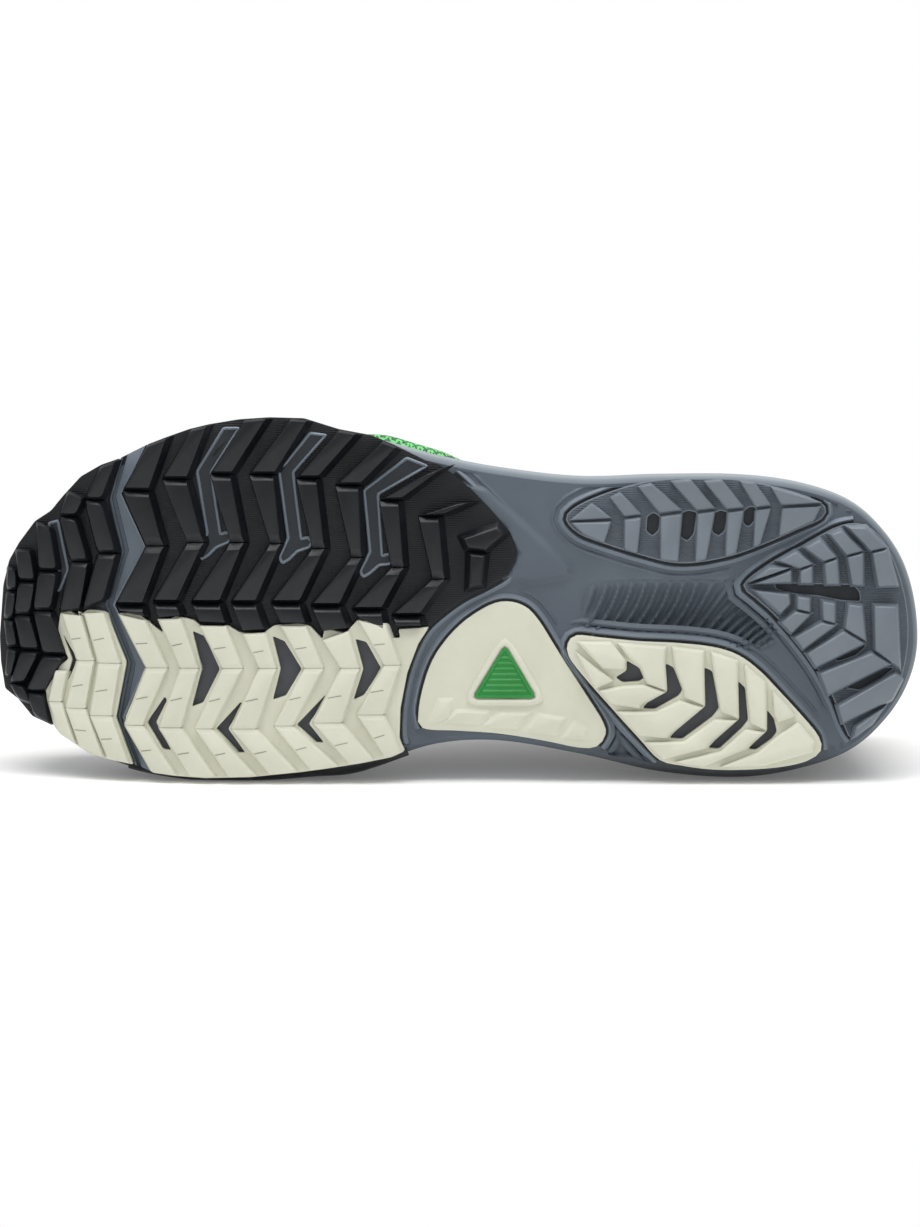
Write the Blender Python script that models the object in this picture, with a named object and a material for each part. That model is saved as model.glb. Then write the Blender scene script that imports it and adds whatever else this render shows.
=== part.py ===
"""Trail running shoe for the left foot, lying on its medial side.

Every piece is modelled in the shoe's own frame: x runs from heel to toe, y towards the lateral side,
z up from the plane that the lug tips stand on. At the end one empty turns the whole shoe onto its side,
where its hull comes to rest. Tables hold percentages of LENGTH (along) and of BALL_WIDTH (across,
lateral side positive) unless a column says more.
"""

import math
from collections import namedtuple

import bmesh
import bpy
from mathutils import Matrix, Vector

for old in list(bpy.data.objects):
    bpy.data.objects.remove(old, do_unlink=True)

# Driving sizes in metres
LENGTH = 0.303
BALL_WIDTH = 0.120
HEEL_STACK = 0.034
FOREFOOT_STACK = 0.026
TOE_SPRING = 0.024
HEEL_BEVEL = 0.007
WAIST_RISE = 0.0012
ARCH_HOLLOW = 0.0075
INSTEP_HEIGHT = 0.078
RIDGE_SHIFT = 0.0036
UPPER_WALL = 0.0026
OVERLAY_WALL = 0.0012
RIM_WALL = 0.0046
RIM_RISE = 0.012
LUG_DEPTH = 0.0038
LUG_DRAFT = 0.0008
POD_PLATE = 0.0018
BADGE_PLATE = 0.0010
FRAME_DEPTH = 0.0016
INSOLE_THICKNESS = 0.0045
TONGUE_THICKNESS = 0.0050
TONGUE_TOP = 0.026
TONGUE_CROWN = 0.0030
LACE_WIDTH = 0.0062
LACE_THICKNESS = 0.0016
GAP = 0.0003

# Stations from heel to toe, the fan centres of the two round ends and where the throat ends in front
STATIONS = 36
HEEL_CENTRE = 14.0
TOE_CENTRE = 86.0
THROAT_FRONT = 68.5

# Where the ground line leaves the flat: the toe spring starts, the heel bevel ends, the waist lies between
SPRING_START = 72
BEVEL_END = 11
WAIST_START = 37
WAIST_SPAN = 18

# The foot bed slopes from heel to ball between these places, and rises with this share of the toe spring
SLOPE_FRONT = 70
SLOPE_SPAN = 60
BED_SPRING = 0.62

# The hollow under the arch: its middle and its reach, along and across
ARCH_ALONG = 26
ARCH_REACH_ALONG = 11
ARCH_ACROSS = -1.5
ARCH_REACH_ACROSS = 10

# The upper stands this many gaps inside the foam's rim
FEATHER_GAPS = 1.3

# On the instep a swing runs from the middle of the tongue to the eyestays: the throat's edge is at this swing
EDGE_SWING = 0.6

Edge = namedtuple("Edge", "along lateral medial")
OUTLINE = (
    Edge(0.0, -8.3, 8.3),
    Edge(1.3, 10.5, 22.2),
    Edge(3.5, 20.2, 30.5),
    Edge(7.3, 29.1, 38.8),
    Edge(12.8, 34.3, 44.0),
    Edge(19.4, 36.6, 46.5),
    Edge(28.2, 36.8, 44.9),
    Edge(37.0, 36.3, 39.9),
    Edge(45.7, 38.8, 36.3),
    Edge(52.3, 42.1, 37.0),
    Edge(58.9, 46.6, 41.8),
    Edge(67.1, 50.4, 45.6),
    Edge(74.2, 50.4, 46.6),
    Edge(79.7, 48.0, 46.2),
    Edge(86.3, 41.4, 43.2),
    Edge(91.8, 33.0, 37.2),
    Edge(96.2, 21.8, 28.6),
    Edge(98.8, 12.0, 21.0),
    Edge(100.0, -8.3, 8.3),
)

# Side wall of the foam: rise as a share of the wall's height, inset as a share of RIM_WALL
Step = namedtuple("Step", "rise inset")
SIDE_WALL = (
    Step(0.00, 0.50),
    Step(0.10, 0.13),
    Step(0.34, 0.00),
    Step(0.50, 0.06),
    Step(0.53, 0.30),
    Step(0.59, 0.30),
    Step(0.63, 0.10),
    Step(0.92, 0.26),
    Step(1.00, 0.46),
)

Rim = namedtuple("Rim", "along rise")
RIM = (
    Rim(0, 1.0), Rim(12, 0.92), Rim(35, 0.75), Rim(50, 0.65), Rim(70, 0.42), Rim(90, 0.42), Rim(100, 0.55),
)

# Upper: height as a share of INSTEP_HEIGHT, then how far out the wall stands at a quarter, at 55 %, at 85 %
# of that height and at its edge, as shares of the way from the foot's centre line to the feather line
Section = namedtuple("Section", "along height low mid high edge")
SECTIONS = (
    Section(0, 0.86, 1.02, 1.00, 0.92, 0.93),
    Section(6, 0.84, 1.03, 1.00, 0.91, 0.90),
    Section(15, 0.66, 1.03, 0.98, 0.84, 0.79),
    Section(24, 0.67, 1.03, 0.96, 0.77, 0.70),
    Section(32, 0.83, 1.02, 0.93, 0.69, 0.54),
    Section(38, 1.00, 1.02, 0.90, 0.62, 0.37),
    Section(46, 0.94, 1.02, 0.90, 0.63, 0.35),
    Section(56, 0.81, 1.03, 0.92, 0.66, 0.30),
    Section(64, 0.70, 1.03, 0.94, 0.70, 0.25),
    Section(69, 0.64, 1.03, 0.95, 0.73, 0.14),
    Section(78, 0.55, 1.02, 0.95, 0.75, 0.00),
    Section(86, 0.47, 1.01, 0.92, 0.70, 0.00),
    Section(94, 0.47, 0.99, 0.86, 0.58, 0.00),
    Section(100, 0.47, 0.98, 0.82, 0.50, 0.00),
)
WALL_LEVELS = (0.0, 0.25, 1.0, 1.6, 2.2, 2.8, 3.3, 3.7, 4.0)

Spot = namedtuple("Spot", "along across")
MIDFOOT_POD = (
    Spot(44.8, 2.8), Spot(47.7, -0.6), Spot(51.5, -8.3), Spot(53.6, -16.6), Spot(54.7, -27.1),
    Spot(54.4, -32.4), Spot(50.1, -33.5), Spot(45.7, -34.3), Spot(40.8, -36.3), Spot(37.0, -38.2),
    Spot(34.4, -36.8), Spot(34.1, -32.1), Spot(37.0, -20.2), Spot(39.1, -11.6), Spot(40.8, -5.0),
    Spot(43.0, 1.7),
)
BADGE = (Spot(45.1, -9.7), Spot(48.6, -24.1), Spot(41.7, -24.1))
HEEL_MEDIAL_POD = (
    Spot(37.2, -6.9), Spot(38.4, -11.1), Spot(37.0, -16.6), Spot(34.8, -23.0), Spot(32.6, -29.1),
    Spot(29.3, -38.2), Spot(26.0, -42.6), Spot(22.7, -43.5), Spot(18.3, -43.6), Spot(14.5, -42.6),
    Spot(10.9, -40.0), Spot(10.3, -36.0), Spot(11.7, -31.0), Spot(13.9, -24.9), Spot(16.1, -19.1),
    Spot(19.4, -12.5), Spot(23.8, -9.7), Spot(29.3, -8.3),
)
HEEL_LATERAL_POD = (
    Spot(38.4, 25.2), Spot(37.0, 29.4), Spot(34.8, 31.5), Spot(30.4, 34.4), Spot(26.0, 35.2),
    Spot(19.4, 34.8), Spot(15.0, 33.0), Spot(11.2, 30.4), Spot(9.8, 27.4), Spot(11.7, 23.5),
    Spot(15.0, 20.2), Spot(18.3, 16.9), Spot(21.6, 14.1), Spot(24.9, 12.9), Spot(28.7, 13.9),
    Spot(32.6, 17.2), Spot(37.0, 21.1),
)
HEEL_REAR_POD = (
    Spot(18.9, 6.9), Spot(17.2, 11.6), Spot(13.9, 17.2), Spot(9.5, 22.2), Spot(6.8, 24.4),
    Spot(4.6, 21.4), Spot(3.0, 15.5), Spot(1.8, 6.0), Spot(1.3, -2.8), Spot(1.2, -11.0),
    Spot(2.2, -22.0), Spot(4.3, -29.5), Spot(6.8, -35.0), Spot(8.1, -31.9), Spot(9.0, -24.9),
    Spot(10.6, -16.6), Spot(12.8, -9.1), Spot(15.0, -2.8),
)
TOE_POD = (
    Spot(87.2, 40.2), Spot(88.6, 30.5), Spot(87.3, 16.1), Spot(89.1, 1.4), Spot(91.2, 0.4),
    Spot(93.8, 0.6), Spot(94.7, -6.1), Spot(93.5, -13.3), Spot(95.5, -18.0), Spot(95.9, -22.2),
    Spot(95.6, -28.0), Spot(97.6, -25.0), Spot(99.4, -18.0), Spot(100.0, -8.3), Spot(99.4, 5.5),
    Spot(98.0, 16.0), Spot(96.0, 22.8), Spot(93.4, 28.8), Spot(91.3, 34.4), Spot(89.2, 38.2),
)
LATERAL_POD = (
    Spot(84.6, 43.4), Spot(87.1, 32.4), Spot(84.4, 17.7), Spot(87.8, 1.4), Spot(85.2, 0.6),
    Spot(82.7, -4.4), Spot(81.4, -0.3), Spot(78.4, -3.0), Spot(75.9, -2.2), Spot(71.8, -4.7),
    Spot(70.9, -2.8), Spot(66.6, -2.8), Spot(65.1, -6.1), Spot(61.3, -1.1), Spot(57.8, -5.8),
    Spot(55.0, -3.0), Spot(52.9, -2.6), Spot(50.1, 3.3), Spot(47.9, 6.4), Spot(45.2, 10.0),
    Spot(43.8, 15.8), Spot(45.4, 23.0), Spot(48.1, 30.7), Spot(50.3, 35.5), Spot(52.6, 39.4),
    Spot(56.7, 43.6), Spot(61.0, 46.8), Spot(67.1, 49.6), Spot(74.2, 49.8), Spot(79.7, 47.6),
)
MEDIAL_FRONT_POD = (
    Spot(93.2, -0.8), Spot(93.8, -6.1), Spot(92.4, -13.3), Spot(94.6, -18.6), Spot(94.8, -26.3),
    Spot(94.3, -31.6), Spot(90.7, -38.0), Spot(86.3, -42.0), Spot(86.0, -41.5), Spot(87.8, -29.9),
    Spot(86.6, -14.4), Spot(89.0, -0.8),
)
MEDIAL_REAR_POD = (
    Spot(87.2, -0.8), Spot(84.4, -15.8), Spot(86.8, -29.9), Spot(83.9, -43.6), Spot(78.6, -45.4),
    Spot(73.1, -45.4), Spot(67.7, -44.2), Spot(61.1, -41.4), Spot(56.7, -38.0), Spot(56.6, -27.7),
    Spot(55.8, -18.0), Spot(54.5, -8.3), Spot(53.3, -4.6), Spot(55.0, -4.6), Spot(57.8, -7.4),
    Spot(61.3, -2.7), Spot(65.1, -7.7), Spot(66.6, -4.4), Spot(70.9, -4.4), Spot(71.8, -6.3),
    Spot(75.9, -3.8), Spot(78.4, -4.6), Spot(81.4, -1.9), Spot(82.7, -6.0), Spot(85.2, -1.2),
)

# Lug rows run across the sole. Each row is a zigzag band: its corners give where its toe-side face stands
# and how wide the band is there, both along the shoe
Corner = namedtuple("Corner", "across front width")
LATERAL_LUGS = (
    (Corner(43.0, 84.0, 1.7), Corner(33.8, 86.2, 2.4), Corner(18.3, 83.8, 1.8), Corner(2.6, 87.0, 2.6)),
    (Corner(47.6, 79.4, 1.7), Corner(36.8, 82.7, 2.7), Corner(19.4, 79.9, 1.9), Corner(0.8, 83.8, 2.6)),
    (Corner(49.4, 73.6, 1.9), Corner(38.5, 77.4, 2.3), Corner(19.1, 75.2, 1.7), Corner(-1.0, 79.6, 3.0)),
    (Corner(49.6, 68.4, 1.8), Corner(38.5, 73.1, 2.7), Corner(18.8, 70.8, 1.6), Corner(-1.2, 75.2, 2.7)),
    (Corner(47.8, 63.4, 2.0), Corner(36.8, 68.0, 2.3), Corner(17.7, 66.2, 1.6), Corner(-1.4, 70.8, 3.0)),
    (Corner(44.6, 58.4, 1.6), Corner(34.9, 63.7, 2.6), Corner(15.2, 62.0, 1.6), Corner(-0.6, 66.4, 3.0)),
    (Corner(38.8, 53.6, 1.6), Corner(31.0, 58.9, 2.3), Corner(12.5, 57.6, 1.7), Corner(-2.6, 62.0, 3.0)),
    (Corner(31.8, 49.6, 1.5), Corner(26.3, 54.6, 2.4), Corner(8.9, 53.1, 1.6), Corner(-2.6, 57.4, 2.8)),
    (Corner(22.4, 46.6, 1.6), Corner(18.4, 50.1, 2.9), Corner(7.4, 49.2, 1.6)),
)
TOE_LUGS = (
    (Corner(34.6, 91.0, 1.6), Corner(30.0, 92.2, 1.8), Corner(15.4, 90.6, 1.7), Corner(1.6, 92.6, 2.2)),
    (Corner(27.0, 94.0, 1.6), Corner(13.0, 93.8, 1.6), Corner(1.4, 95.6, 1.9), Corner(-5.0, 96.0, 1.6)),
    (Corner(20.8, 96.2, 1.4), Corner(8.6, 96.6, 1.5), Corner(-2.0, 97.8, 1.5), Corner(-11.0, 96.6, 1.6),
     Corner(-22.0, 98.0, 1.5)),
    (Corner(8.0, 99.0, 1.1), Corner(-5.0, 99.7, 1.2), Corner(-14.0, 99.2, 1.4)),
)
MEDIAL_FRONT_LUGS = (
    (Corner(-3.0, 90.6, 1.4), Corner(-14.6, 88.8, 1.5), Corner(-29.9, 89.8, 1.5), Corner(-39.6, 88.2, 1.5)),
    (Corner(-3.0, 93.2, 1.4), Corner(-13.4, 91.4, 1.5), Corner(-24.0, 93.0, 1.5), Corner(-34.4, 91.6, 1.4)),
    (Corner(-19.4, 94.4, 1.1), Corner(-26.0, 94.6, 1.1), Corner(-30.6, 93.9, 1.0)),
)
MEDIAL_REAR_LUGS = (
    (Corner(-2.6, 86.2, 2.4), Corner(-15.8, 83.8, 2.4), Corner(-31.0, 85.6, 2.4), Corner(-43.0, 83.6, 2.4)),
    (Corner(-6.6, 82.4, 3.0), Corner(-15.8, 80.0, 3.4), Corner(-31.0, 82.2, 3.4), Corner(-44.2, 80.0, 3.4)),
    (Corner(-5.6, 77.8, 3.0), Corner(-15.8, 75.9, 3.4), Corner(-31.0, 78.4, 3.4), Corner(-44.4, 75.6, 3.4)),
    (Corner(-7.4, 73.6, 3.0), Corner(-15.8, 71.4, 3.4), Corner(-31.0, 73.9, 3.4), Corner(-44.0, 71.2, 3.4)),
    (Corner(-6.6, 69.2, 3.0), Corner(-15.8, 67.2, 3.4), Corner(-31.0, 69.6, 3.4), Corner(-43.0, 67.0, 3.4)),
    (Corner(-8.6, 64.8, 3.0), Corner(-15.8, 62.8, 3.4), Corner(-30.0, 65.2, 3.4), Corner(-41.0, 62.6, 3.4)),
    (Corner(-7.8, 60.8, 2.8), Corner(-15.8, 58.6, 2.4), Corner(-29.0, 60.8, 3.2), Corner(-38.4, 59.0, 2.6)),
)
MIDFOOT_LUGS = (
    (Corner(-27.0, 53.2, 2.0), Corner(-31.0, 52.4, 2.4)),
    (Corner(-28.0, 49.2, 2.2), Corner(-32.0, 48.0, 2.6)),
    (Corner(-28.6, 43.6, 2.2), Corner(-33.6, 42.4, 2.6)),
    (Corner(-27.0, 38.6, 2.2), Corner(-35.4, 37.6, 2.6)),
)
HEEL_MEDIAL_LUGS = (
    (Corner(-9.2, 35.8, 3.6), Corner(-15.0, 35.4, 5.0), Corner(-21.0, 34.2, 2.6)),
    (Corner(-10.6, 30.4, 3.6), Corner(-17.6, 28.8, 2.6), Corner(-29.6, 31.6, 2.6)),
    (Corner(-12.0, 26.2, 3.6), Corner(-22.0, 24.6, 3.0), Corner(-37.4, 28.6, 3.4)),
    (Corner(-13.4, 21.8, 2.8), Corner(-27.6, 20.4, 2.6), Corner(-40.6, 24.4, 3.6)),
    (Corner(-21.2, 17.2, 2.2), Corner(-31.4, 17.2, 2.6), Corner(-41.2, 19.6, 3.2)),
    (Corner(-30.0, 13.6, 1.9), Corner(-34.6, 13.8, 2.4), Corner(-40.4, 15.2, 2.8)),
)
HEEL_LATERAL_LUGS = (
    (Corner(31.0, 33.4, 2.0), Corner(27.6, 36.0, 3.2), Corner(21.4, 35.6, 2.4)),
    (Corner(33.4, 28.6, 1.8), Corner(26.8, 31.8, 1.9), Corner(17.6, 31.2, 1.9)),
    (Corner(34.0, 24.6, 1.9), Corner(27.6, 28.0, 2.2), Corner(14.8, 27.6, 2.0)),
    (Corner(34.0, 20.8, 1.9), Corner(27.8, 24.0, 2.0), Corner(14.4, 23.8, 2.0)),
    (Corner(33.4, 17.6, 1.8), Corner(28.2, 20.8, 1.9), Corner(16.6, 20.4, 1.9)),
    (Corner(31.8, 14.8, 1.6), Corner(28.4, 17.5, 1.7), Corner(19.4, 16.8, 1.7)),
    (Corner(28.8, 12.8, 1.6), Corner(25.0, 13.6, 1.8)),
)
HEEL_REAR_LUGS = (
    (Corner(15.6, 13.6, 1.6), Corner(11.4, 14.4, 1.9), Corner(8.8, 15.2, 1.7)),
    (Corner(19.0, 10.4, 1.6), Corner(13.8, 11.2, 1.9), Corner(9.0, 12.4, 1.7)),
    (Corner(21.6, 7.6, 1.4), Corner(15.8, 8.2, 1.9), Corner(9.0, 9.4, 1.7)),
    (Corner(19.0, 4.8, 1.3), Corner(14.2, 5.2, 1.7), Corner(9.0, 6.0, 1.7)),
    (Corner(5.4, 15.4, 1.8), Corner(1.6, 14.4, 2.0), Corner(-1.4, 14.2, 1.5)),
    (Corner(5.6, 11.6, 2.0), Corner(-2.0, 10.8, 2.2), Corner(-8.4, 11.6, 1.6)),
    (Corner(5.6, 7.6, 2.2), Corner(-5.0, 7.2, 2.4), Corner(-15.6, 8.8, 1.7)),
    (Corner(5.6, 3.6, 1.4), Corner(-9.0, 3.8, 2.2), Corner(-22.4, 7.0, 2.2)),
    (Corner(-17.0, 2.7, 1.0), Corner(-23.0, 4.0, 1.2), Corner(-30.4, 6.9, 1.6)),
)

# Laces: the rows of eyelets along the throat, as percentages of LENGTH
EYELET_ROWS = (40.5, 46.5, 52.5, 58.5, 64.0)
EYELET_LEVEL = 3.72


def along(percent):
    return LENGTH * percent / 100


def across(percent):
    return BALL_WIDTH * percent / 100


def ease(value):
    value = min(max(value, 0.0), 1.0)
    return value * value * (3 - 2 * value)


def angle(percent):
    """Heel to toe as an angle from 0 to pi, so that the round ends get as many stations as they need."""
    return math.acos(1 - 2 * min(max(percent / 100, 0.0), 1.0))


def through(knots, values, at):
    """A smooth curve through the values at the knots."""
    last = len(knots) - 1
    at = min(max(at, knots[0]), knots[-1])
    first = next(index for index in range(last) if at <= knots[index + 1])
    span = knots[first + 1] - knots[first]
    step = (at - knots[first]) / span

    def slope(index):
        before, after = max(index - 1, 0), min(index + 1, last)
        return (values[after] - values[before]) / (knots[after] - knots[before])

    rise_a, rise_b = slope(first) * span, slope(first + 1) * span
    value_a, value_b = values[first], values[first + 1]
    cubic = (2 * value_a - 2 * value_b + rise_a + rise_b) * step
    square = 3 * value_b - 3 * value_a - 2 * rise_a - rise_b
    return ((cubic + square) * step + rise_a) * step + value_a


def column(rows, name):
    knots = [angle(row.along) for row in rows]
    values = [getattr(row, name) for row in rows]
    return lambda percent: through(knots, values, angle(percent))


EDGES = {1: column(OUTLINE, "lateral"), -1: column(OUTLINE, "medial")}
RIM_CURVE = column(RIM, "rise")
UPPER_CURVES = {name: column(SECTIONS, name) for name in Section._fields[1:]}


def percent_at(x):
    return 100 * x / LENGTH


def toe_share(percent):
    """How far a place lies in the toe spring, from 0 at its start to 1 at the toe."""
    return max(0.0, (percent - SPRING_START) / (100 - SPRING_START))


def ground(x):
    """Height of the lug tips over the plane that heel and ball stand on: toe spring, heel bevel and waist."""
    percent = percent_at(x)
    spring = TOE_SPRING * toe_share(percent) ** 2
    bevel = HEEL_BEVEL * max(0.0, (BEVEL_END - percent) / BEVEL_END) ** 2
    waist = WAIST_RISE * math.sin(math.pi * min(max((percent - WAIST_START) / WAIST_SPAN, 0), 1)) ** 2
    return spring + bevel + waist


def foam_under(x, y):
    """Underside of the foam, which the pods are bonded to, with the long hollow under the arch."""
    reach = (x - along(ARCH_ALONG)) / along(ARCH_REACH_ALONG)
    width = (y - across(ARCH_ACROSS)) / across(ARCH_REACH_ACROSS)
    hollow = max(0.0, 1 - reach * reach) * max(0.0, 1 - width * width)
    return ground(x) + LUG_DEPTH + POD_PLATE + GAP + ARCH_HOLLOW * hollow


def bed(x):
    """Top of the foam under the foot."""
    percent = percent_at(x)
    drop = (HEEL_STACK - FOREFOOT_STACK) * ease((SLOPE_FRONT - percent) / SLOPE_SPAN)
    return FOREFOOT_STACK + drop + BED_SPRING * TOE_SPRING * toe_share(percent) ** 2


def rim_rise(x):
    return RIM_RISE * RIM_CURVE(percent_at(x))


def outline(turn):
    """Sole outline, once round: 0 to pi along the lateral side to the toe, then back along the medial side."""
    turn = turn % (2 * math.pi)
    side = 1 if turn <= math.pi else -1
    theta = turn if side == 1 else 2 * math.pi - turn
    percent = 50 * (1 - math.cos(theta))
    return Vector((along(percent), side * across(EDGES[side](percent))))


def inset_outline(turn, inset):
    nudge = 0.02
    travel = (outline(turn + nudge) - outline(turn - nudge)).normalized()
    return outline(turn) + Vector((travel.y, -travel.x)) * inset


def centre(turn):
    """The foot's centre line, which the rings shrink to."""
    percent = 50 * (1 - math.cos(turn))
    percent = min(max(percent, HEEL_CENTRE), TOE_CENTRE)
    middle = (EDGES[1](percent) - EDGES[-1](percent)) / 2
    return Vector((along(percent), across(middle)))


def ring_point(turn, inset, share):
    middle = centre(turn)
    return middle + share * (inset_outline(turn, inset) - middle)


def wall_point(turn, level):
    """Outer face of the upper: level -1 is the feather line, 0 the foam's rim, 4 the edge or ridge."""
    percent = 50 * (1 - math.cos(turn))
    inset = RIM_WALL + FEATHER_GAPS * GAP
    foot = ring_point(turn, inset, 1.0)
    if level < 0:
        return Vector((foot.x, foot.y, bed(foot.x) + GAP))
    height = INSTEP_HEIGHT * UPPER_CURVES["height"](percent)
    rim = rim_rise(foot.x) + GAP
    edge = 0.0 if percent >= THROAT_FRONT else max(UPPER_CURVES["edge"](percent), 0.0)
    closed = 1 - min(edge / 0.25, 1)
    high = UPPER_CURVES["high"](percent)
    outs = (1.0, UPPER_CURVES["low"](percent), UPPER_CURVES["mid"](percent), high, edge, 2 * edge - high)
    rises = (rim, max(0.25 * height, rim + 0.004), 0.55 * height, 0.85 * height, height,
             height * (1.15 - 0.30 * closed))
    knots = (0, 1, 2, 3, 4, 5)
    out = through(knots, outs, level)
    rise = through(knots, rises, level)
    spot = ring_point(turn, inset, out)
    shift = RIDGE_SHIFT * (rise / height) ** 2
    return Vector((spot.x, spot.y - shift, bed(spot.x) + rise))


def wall_normal(turn, level):
    nudge = 0.01
    forward = wall_point(turn + nudge, level) - wall_point(turn - nudge, level)
    upward = wall_point(turn, min(level + nudge, 4)) - wall_point(turn, max(level - nudge, 0))
    return upward.cross(forward).normalized()


def instep_point(percent, swing, lift):
    """A point on the closed instep over the throat: swing 1 is the lateral eyestay, -1 the medial one."""
    side = 1 if swing >= 0 else -1
    turns = {1: angle(percent), -1: 2 * math.pi - angle(percent)}
    edges = {s: wall_point(turns[s], 4) for s in turns}
    if abs(swing) > EDGE_SWING:
        level = 4 - (abs(swing) - EDGE_SWING)
        return wall_point(turns[side], level) + wall_normal(turns[side], level) * lift
    share = swing / EDGE_SWING
    middle = (edges[1] + edges[-1]) / 2 + (edges[1] - edges[-1]) * share / 2
    lean = wall_normal(turns[side], 4) * abs(share) + Vector((0.3, 0, 1)).normalized() * (1 - abs(share))
    return middle + Vector((0, 0, TONGUE_CROWN * (1 - share * share))) + lean.normalized() * lift


TURNS = [2 * math.pi * index / (2 * STATIONS) for index in range(2 * STATIONS)]


def add_object(name, mesh_data, smooth=True):
    mesh = bpy.data.meshes.new(name)
    mesh_data.to_mesh(mesh)
    mesh_data.free()
    if smooth:
        mesh.shade_smooth()
        mesh.set_sharp_from_angle(angle=math.radians(35))
    piece = bpy.data.objects.new(name, mesh)
    bpy.context.collection.objects.link(piece)
    return piece


def face_out(shell):
    """Turns an open or closed skin so that its faces look away from its middle."""
    bmesh.ops.recalc_face_normals(shell, faces=shell.faces[:])
    middle = sum((vert.co for vert in shell.verts), Vector()) / len(shell.verts)
    outward = sum(face.normal.dot(face.calc_center_median() - middle) for face in shell.faces)
    if outward < 0:
        bmesh.ops.reverse_faces(shell, faces=shell.faces[:])


def turn_out(body):
    """Turns a closed body so that its faces look outwards."""
    bmesh.ops.recalc_face_normals(body, faces=body.faces[:])
    if body.calc_volume(signed=True) < 0:
        bmesh.ops.reverse_faces(body, faces=body.faces[:])


def skin(levels):
    """Rings of points, one above the other, joined into a skin. Points that meet are merged."""
    shell = bmesh.new()
    rings = [[shell.verts.new(level(turn)) for turn in TURNS] for level in levels]
    for lower, upper in zip(rings, rings[1:]):
        for index in range(len(TURNS)):
            after = (index + 1) % len(TURNS)
            shell.faces.new((lower[index], lower[after], upper[after], upper[index]))
    bmesh.ops.remove_doubles(shell, verts=shell.verts[:], dist=1e-6)
    face_out(shell)
    return shell


def flat_level(inset, share, height):
    def level(turn):
        spot = ring_point(turn, inset, share)
        return Vector((spot.x, spot.y, height(spot.x, spot.y)))
    return level


def paint(piece, name, colour, roughness):
    material = bpy.data.materials.get(name) or bpy.data.materials.new(name)
    material.use_nodes = True
    shader = material.node_tree.nodes["Principled BSDF"]
    linear = [(part / 12.92 if part <= 0.04045 else ((part + 0.055) / 1.055) ** 2.4) for part in colour]
    shader.inputs["Base Color"].default_value = (*linear, 1)
    shader.inputs["Roughness"].default_value = roughness
    shader.inputs["Metallic"].default_value = 0
    material.diffuse_color = (*linear, 1)
    piece.data.materials.clear()
    piece.data.materials.append(material)
    return piece


def make_midsole():
    edge_inset = SIDE_WALL[0].inset * RIM_WALL
    levels = [flat_level(edge_inset, share, foam_under) for share in (0, 0.14, 0.28, 0.7)]
    for step in SIDE_WALL:
        def wall_height(x, y, rise=step.rise):
            low = foam_under(x, y)
            return low + rise * (bed(x) + rim_rise(x) - low)
        levels.append(flat_level(step.inset * RIM_WALL, 1.0, wall_height))
    levels.append(flat_level(RIM_WALL, 1.0, lambda x, y: bed(x) + rim_rise(x)))
    levels += [flat_level(RIM_WALL, share, lambda x, y: bed(x)) for share in (1, 0)]
    return add_object("midsole", skin(levels))


def make_insole():
    inset = RIM_WALL + UPPER_WALL + 4 * GAP
    cup = INSOLE_THICKNESS * 0.35

    def top(share):
        return lambda x, y: bed(x) + GAP + INSOLE_THICKNESS + cup * share
    levels = [flat_level(inset, share, lambda x, y: bed(x) + GAP) for share in (0, 1)]
    levels += [flat_level(inset, share, top(share ** 4)) for share in (1, 0.8, 0)]
    return add_object("insole", skin(levels))


def upper_skin(first_level):
    levels = [lambda turn, level=level: wall_point(turn, level) for level in WALL_LEVELS[first_level:]]
    if first_level == 0:
        levels.insert(0, lambda turn: wall_point(turn, -1))
    return skin(levels)


def make_upper():
    piece = add_object("upper", upper_skin(0))
    wall = piece.modifiers.new("wall", "SOLIDIFY")
    wall.thickness = UPPER_WALL
    wall.offset = -1
    return piece


def prism(points, low, high):
    """A straight prism over a flat outline given as vectors, from one height to another."""
    body = bmesh.new()
    face = body.faces.new([body.verts.new((*point, low)) for point in points])
    grown = bmesh.ops.extrude_face_region(body, geom=[face])
    lifted = [part for part in grown["geom"] if isinstance(part, bmesh.types.BMVert)]
    bmesh.ops.translate(body, verts=lifted, vec=(0, 0, high - low))
    turn_out(body)
    return body


def as_cutter(piece):
    piece.hide_render = True
    piece.display_type = "WIRE"
    return piece


def make_overlay(name, cutter):
    """A thin skin laid over the upper, cut to its outline between the full skin and the cutter."""
    shell = upper_skin(1)
    shell.normal_update()
    for vert in shell.verts:
        vert.co += vert.normal * 2 * GAP
    piece = add_object(name, shell)
    wall = piece.modifiers.new("wall", "SOLIDIFY")
    wall.thickness = OVERLAY_WALL
    wall.offset = 1
    cut = piece.modifiers.new("cut", "BOOLEAN")
    cut.operation = "INTERSECT"
    cut.object = as_cutter(cutter)
    return piece


def side_cutter(name, outline_points):
    """A prism across the shoe over a side-view outline: along in percent, height over the bed in metres."""
    points = []
    for point in outline_points:
        points.append(Vector((along(point.along), bed(along(point.along)) + point.height)))
    body = prism(points, -BALL_WIDTH, BALL_WIDTH)
    for vert in body.verts:
        vert.co = Vector((vert.co.x, vert.co.z, vert.co.y))
    turn_out(body)
    return add_object(name, body, smooth=False)


Side = namedtuple("Side", "along height")


def make_toe_cap():
    high = INSTEP_HEIGHT
    shape = (Side(104, -0.3 * high), Side(104, 0.5 * high), Side(96.5, 0.40 * high), Side(94, 0.27 * high),
             Side(89, 0.21 * high), Side(80, 0.20 * high), Side(71, 0.17 * high), Side(66, -0.3 * high))
    return make_overlay("toe_cap", side_cutter("toe_cap_cutter", shape))


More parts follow.
